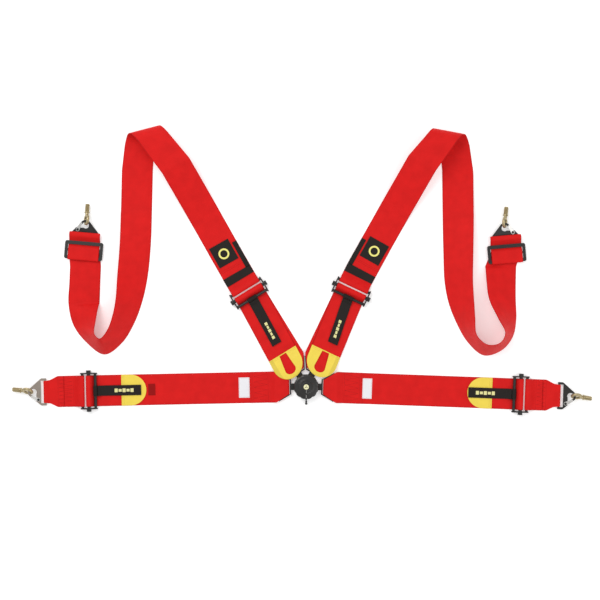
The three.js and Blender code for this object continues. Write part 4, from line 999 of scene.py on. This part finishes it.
class HARNESS_OT_stitching(bpy.types.Operator):
    """Thread: cross seams, box seams and zigzags on the sewn laps, and hems of the pull tabs"""
    bl_idname = "harness.stitching"
    bl_label = "Stitching"

    def execute(self, context):
        web = context.scene.harness_webbing
        trim = context.scene.harness_trim
        t = web.thickness / MM
        half = web.width / MM / 2
        top = layers(web)[1] + t / 2
        thread = webbing_material("Seam thread", trim.thread, dimmed(trim.thread, 0.4), 0.0004, 0.6,
                                  0.0008, 0.1)
        dark = webbing_material("Pull tab thread", (0.62, 0.42, 0.05), (0.4, 0.26, 0.03), 0.0004, 0.6, 0.0008)
        for name, arm in ARMS.items():
            body = body_of_arm(name)
            lines = []
            if is_lap(arm):
                rows = [across_row(x, half) for x in (RETURN_END - 3, RETURN_END - 7, 92, 88)]
                rows.append(zigzag(94, RETURN_END - 9, -half + 5, half - 5, 5))
                lines += [seam(*on_arm(arm, r, top)) for r in rows]
                far, at = arm["bar"] + BAR_PITCH, LAP_ENDS[name]
                x0, x1 = far + 25, at - 33
                lines += [seam(*on_arm(arm, zigzag(x0, x1, -half + 5, half - 5, 7), top))]
                lines += [seam(*on_arm(arm, across_row(x, half), top)) for x in (x0 - 2, x1 + 2)]
            else:
                for s in (108.5, 61, 57):
                    lines.append(seam(*on_shoulder(name, across_row(s, half), top)))
            piece(f"seam_{name}", joined(*lines), body, "red_webbing", material=thread)
            self.hem(name, arm, web, dark, body)
        return {"FINISHED"}

    def hem(self, name, arm, web, material, body):
        """Two rows of stitches across the pull tab's sewn end."""
        skew = math.tan(math.radians(arm["skew"]))
        low = layers(web)[1 if is_lap(arm) else 2] - web.thickness / MM / 2 + PULL_T
        lines = []
        for back in (3.0, 6.5):
            x = arm["free"] - GAP - back
            for y0, y1 in ((-34.5, -13.5), (13.5, 34.5)):
                shift = (x - arm["bar"]) * skew
                lines.append(seam(*on_arm(arm, [(x, y0 + shift), (x, y1 + shift)], low), 2.8, 0.3))
        piece(f"seam_{name}_pull", joined(*lines), body, "yellow_tab", material=material)


class HARNESS_OT_buckle(bpy.types.Operator):
    """Release knob with its lobes and rings, cap with a generic mark, and ball-ended peg"""
    bl_idname = "harness.buckle"
    bl_label = "Buckle"

    def execute(self, context):
        lobes = context.scene.harness_metal.knob_lobes
        low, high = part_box("release_knob")
        base, radius = low.z / MM, high.y / MM
        crown = high.z / MM
        rim = crown - 1.6
        profile = rounded([(3.7, rim - 2.6), (26, rim - 2.6), (28.2, rim - 5), (28.2, base + 0.05),
                           (30.4, base + 0.05), (radius, base + 0.9), (radius, rim - 5.2), (29.6, rim - 2.2),
                           (26.2, rim - 0.7), (19.0, rim - 0.15), (17.6, crown - 0.25), (15.6, crown),
                           (14.7, crown - 1.2), (11.0, crown - 1.35), (10.6, crown - 1.0), (9.8, crown - 1.0),
                           (9.4, crown - 1.35), (7.6, crown - 1.35), (7.05, crown - 1.8), (7.05, crown - 5.2),
                           (3.7, crown - 5.2), (3.7, rim - 2.6)], 0.7, 4)
        knob = lathe(profile[:-1], 240, lobes, 0.052, 28.4, closed=True)
        piece("buckle_knob", knob, "knob", "black_alloy", ("release_knob",))
        clo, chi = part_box("knob_cap")
        z0, z1, r = clo.z / MM, chi.z / MM, chi.y / MM
        cap = rounded([(0.01, z0), (r, z0), (r, z1 - 1.1), (r - 0.9, z1 - 0.35), (r - 2.2, z1 - 0.1),
                       (0.01, z1)], 0.4, 3)
        piece("buckle_cap", lathe(cap, 64), "knob", "emblem", ("knob_cap",))
        marks = []
        for angle in (90, 210, 330):
            a = math.radians(angle)
            d = np.array([math.cos(a), math.sin(a)])
            n = np.array([-d[1], d[0]])
            reach = np.linspace(0.9, 3.9, 8)[:, None]
            wide = np.linspace(0.9, 0.45, 8)[:, None]
            height = np.full((8, 1), z1 + 0.02)
            rulings = np.stack([np.c_[d * reach - n * wide, height], np.c_[d * reach + n * wide, height]], 1)
            marks.append(sweep(rulings, 0.16, 4, 0.12))
        piece("buckle_cap_mark", joined(*marks), "knob", "black_alloy")
        groove = np.array([[-0.35, -r - 1.2, crown - 1.12], [0.35, -r - 1.2, crown - 1.12],
                           [-0.35, -14.2, crown - 1.12], [0.35, -14.2, crown - 1.12]]).reshape(2, 2, 3)
        outer = np.array([[-0.35, -19.4, rim + 0.02], [0.35, -19.4, rim + 0.02], [-0.35, -26.4, rim - 0.6],
                          [0.35, -26.4, rim - 0.6]]).reshape(2, 2, 3)
        piece("buckle_pointer", joined(sweep(even(groove, 1, 0), 0.3, 3, 0.1), sweep(even(outer, 1, 0), 0.3, 3, 0.1)),
              "knob", "bright_steel")
        plo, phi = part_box("lower_slot_peg")
        z = (plo.z + phi.z) / 2 / MM
        reach = -plo.y / MM
        ball = arc(2.9, -42, 89.9, 14, 0, reach - 2.9)
        profile = np.concatenate([rounded([(0.01, 12.2), (2.0, 12.2), (2.2, 12.6), (2.2, 31.5), (1.7, 32.2),
                                           (1.7, 34.4), (2.3, 35.2), (2.3, reach - 6.4), (1.8, reach - 5.4)], 0.4),
                                  ball])
        verts, faces, uv = lathe(profile, 32)
        turned = np.stack([verts[:, 0], -verts[:, 2], verts[:, 1] + z], 1)
        piece("buckle_peg", (turned, faces, uv), "lower_peg", "black_alloy",
              ("lower_slot_peg",))
        return {"FINISHED"}


class HARNESS_OT_eyebolts(bpy.types.Operator):
    """Eyebolts: a round ring, a collar and a rolled thread with a chamfered end"""
    bl_idname = "harness.eyebolts"
    bl_label = "Eyebolts"

    def execute(self, context):
        floor = layers(context.scene.harness_webbing)[0]
        wire = RING_WIRE / 2 - 0.02
        ring = closed_tube(torus(RING_R, wire, wire, 72, 28)[..., [0, 2, 1]])
        verts, faces, uv = joined(ring, self.shank_mesh())
        hook_z = floor + HOOK_LOOP_R
        ring_z = RING_R * math.cos(math.radians(RING_LEAN)) + RING_WIRE / 2 + 0.3
        tilt = math.asin((ring_z - hook_z) / (RING_SEAT + RING_R))
        for name, (side, yaw) in BOLTS.items():
            heading, at = hook_place(name)
            turned = verts @ axis_turn(1, math.radians(RING_ROLL)).T @ axis_turn(0, math.radians(RING_LEAN * side)).T
            turned = (turned + (RING_R, 0, 0)) @ axis_turn(2, math.radians(yaw)).T + (RING_SEAT, 0, 0)
            turned = turned @ axis_turn(1, -tilt).T @ axis_turn(2, math.radians(heading)).T
            turned = turned + (*at, hook_z)
            piece(f"eyebolt_{name}", (turned, faces, uv), f"{name}_bolt", "zinc", (f"{name}_eyebolt",))
        return {"FINISHED"}

    def shank_mesh(self):
        """A profile along X whose thread crest follows x = pitch (angle / turn): radius R - d |saw|."""
        x = np.concatenate([[10.4, 10.6], np.linspace(11.5, 16.2, 8), [16.6, 16.8, 17.0, 18.0, 18.3],
                            np.linspace(18.8, BOLT_REACH, 110)])
        a = np.linspace(0, 2 * math.pi, 40, endpoint=False)
        r = np.interp(x, [10.4, 10.6, 16.2, 16.6, 16.8, 18.0, 18.3, 18.8, 19.4, BOLT_REACH - 1.1, BOLT_REACH],
                      [0.01, 4.3, 4.3, 6.2, 6.55, 6.55, 6.2, 4.9, 5.45, 5.45, 4.6])
        phase = (x[:, None] / THREAD_PITCH - a[None] / (2 * math.pi)) % 1
        depth = np.where(x > 18.9, 0.62, 0.0)[:, None] * np.abs(2 * phase - 1)
        radius = np.maximum(r[:, None] - depth, 0.01)
        points = np.stack([np.broadcast_to(x[:, None], radius.shape), radius * np.cos(a), radius * np.sin(a)], 2)
        return tube_mesh(points, None)


class HARNESS_OT_finishes(bpy.types.Operator):
    """Finishes of the hardware that keeps its own shape"""
    bl_idname = "harness.finishes"
    bl_label = "Hardware finishes"

    def execute(self, context):
        made = materials()
        for row in frame["record"]["subparts"]:
            obj = frame["nodes"][row["node"]]
            obj.data.materials.clear()
            obj.data.materials.append(made[row["material_slot"]])
        return {"FINISHED"}


class HARNESS_OT_stage(bpy.types.Operator):
    """Pale floor, soft lights and the camera above"""
    bl_idname = "harness.stage"
    bl_label = "Stage"

    def execute(self, context):
        stage = context.scene.harness_stage
        data = bpy.data.meshes.new("floor")
        reach = 12.0
        corners = np.array([(-reach, -reach, 0), (reach, -reach, 0), (reach, reach, 0), (-reach, reach, 0)])
        data.from_pydata((corners - (0, 0, 0.0002)).tolist(), [], [(0, 1, 2, 3)])
        material, tree, bsdf = shader("Floor")
        wear = placed(tree, wear_group())
        wear.inputs["Scale"].default_value = 3.0
        dim = dimmed(stage.floor, 0.985)
        tree.links.new(blend_colour(tree, wear.outputs["Blotch"], dim, tuple(stage.floor)),
                       bsdf.inputs["Base Color"])
        bsdf.inputs["Roughness"].default_value = 0.9
        bsdf.inputs["Emission Color"].default_value = (1, 1, 1, 1)
        bsdf.inputs["Emission Strength"].default_value = 0.3
        data.materials.append(material)
        floor = bpy.data.objects.new("floor", data)
        context.scene.collection.objects.link(floor)

        for name, place, size, power in (("key", (-1.3, 1.6, 2.6), 2.0, 1.0), ("fill", (1.8, -0.6, 2.4), 2.4, 0.5)):
            light = bpy.data.lights.new(name, "AREA")
            light.size = size
            light.energy = stage.key * power
            lamp = bpy.data.objects.new(name, light)
            lamp.location = place
            aim = np.array([0, 0.2, 0]) - np.array(place)
            lamp.rotation_mode = "QUATERNION"
            lamp.rotation_quaternion = Vector(aim).to_track_quat("-Z", "Y")
            context.scene.collection.objects.link(lamp)
        world = bpy.data.worlds.new("Studio")
        world.use_nodes = True
        world.node_tree.nodes["Background"].inputs[0].default_value = (1, 1, 1, 1)
        world.node_tree.nodes["Background"].inputs[1].default_value = 0.66
        context.scene.world = world
        context.scene.view_settings.view_transform = "Standard"

        lens = bpy.data.cameras.new("camera")
        lens.lens = stage.lens
        lens.sensor_width = 36.0
        camera = bpy.data.objects.new("camera", lens)
        camera.location = (-0.015, 0.2088, stage.span * stage.lens / lens.sensor_width)
        context.scene.collection.objects.link(camera)
        context.scene.camera = camera
        return {"FINISHED"}


class HARNESS_PT_panel(bpy.types.Panel):
    bl_label = "Racing Harness"
    bl_idname = "HARNESS_PT_panel"
    bl_space_type = "VIEW_3D"
    bl_region_type = "UI"
    bl_category = "Harness"

    def draw(self, context):
        for operator in OPERATORS:
            self.layout.operator(operator.bl_idname)
        for group in (context.scene.harness_webbing, context.scene.harness_trim,
                      context.scene.harness_metal, context.scene.harness_stage):
            for prop in group.bl_rna.properties:
                if prop.identifier not in ("rna_type", "name"):
                    self.layout.prop(group, prop.identifier)


OPERATORS = (HARNESS_OT_straps, HARNESS_OT_pull_tabs, HARNESS_OT_release_tabs, HARNESS_OT_patches,
             HARNESS_OT_stitching, HARNESS_OT_buckle, HARNESS_OT_eyebolts, HARNESS_OT_finishes, HARNESS_OT_stage)
GROUPS = {"harness_webbing": HarnessWebbing, "harness_trim": HarnessTrim, "harness_metal": HarnessMetal,
          "harness_stage": HarnessStage}


def register():
    for cls in (*GROUPS.values(), *OPERATORS, HARNESS_PT_panel):
        bpy.utils.register_class(cls)
    for name, cls in GROUPS.items():
        setattr(bpy.types.Scene, name, bpy.props.PointerProperty(type=cls))


def unregister():
    for name in GROUPS:
        delattr(bpy.types.Scene, name)
    for cls in (HARNESS_PT_panel, *reversed(OPERATORS), *reversed(GROUPS.values())):
        bpy.utils.unregister_class(cls)


def main():
    register()
    for operator in OPERATORS:
        section, name = operator.bl_idname.split(".")
        getattr(getattr(bpy.ops, section), name)()
    bpy.context.view_layer.update()


if __name__ == "__main__":
    main()
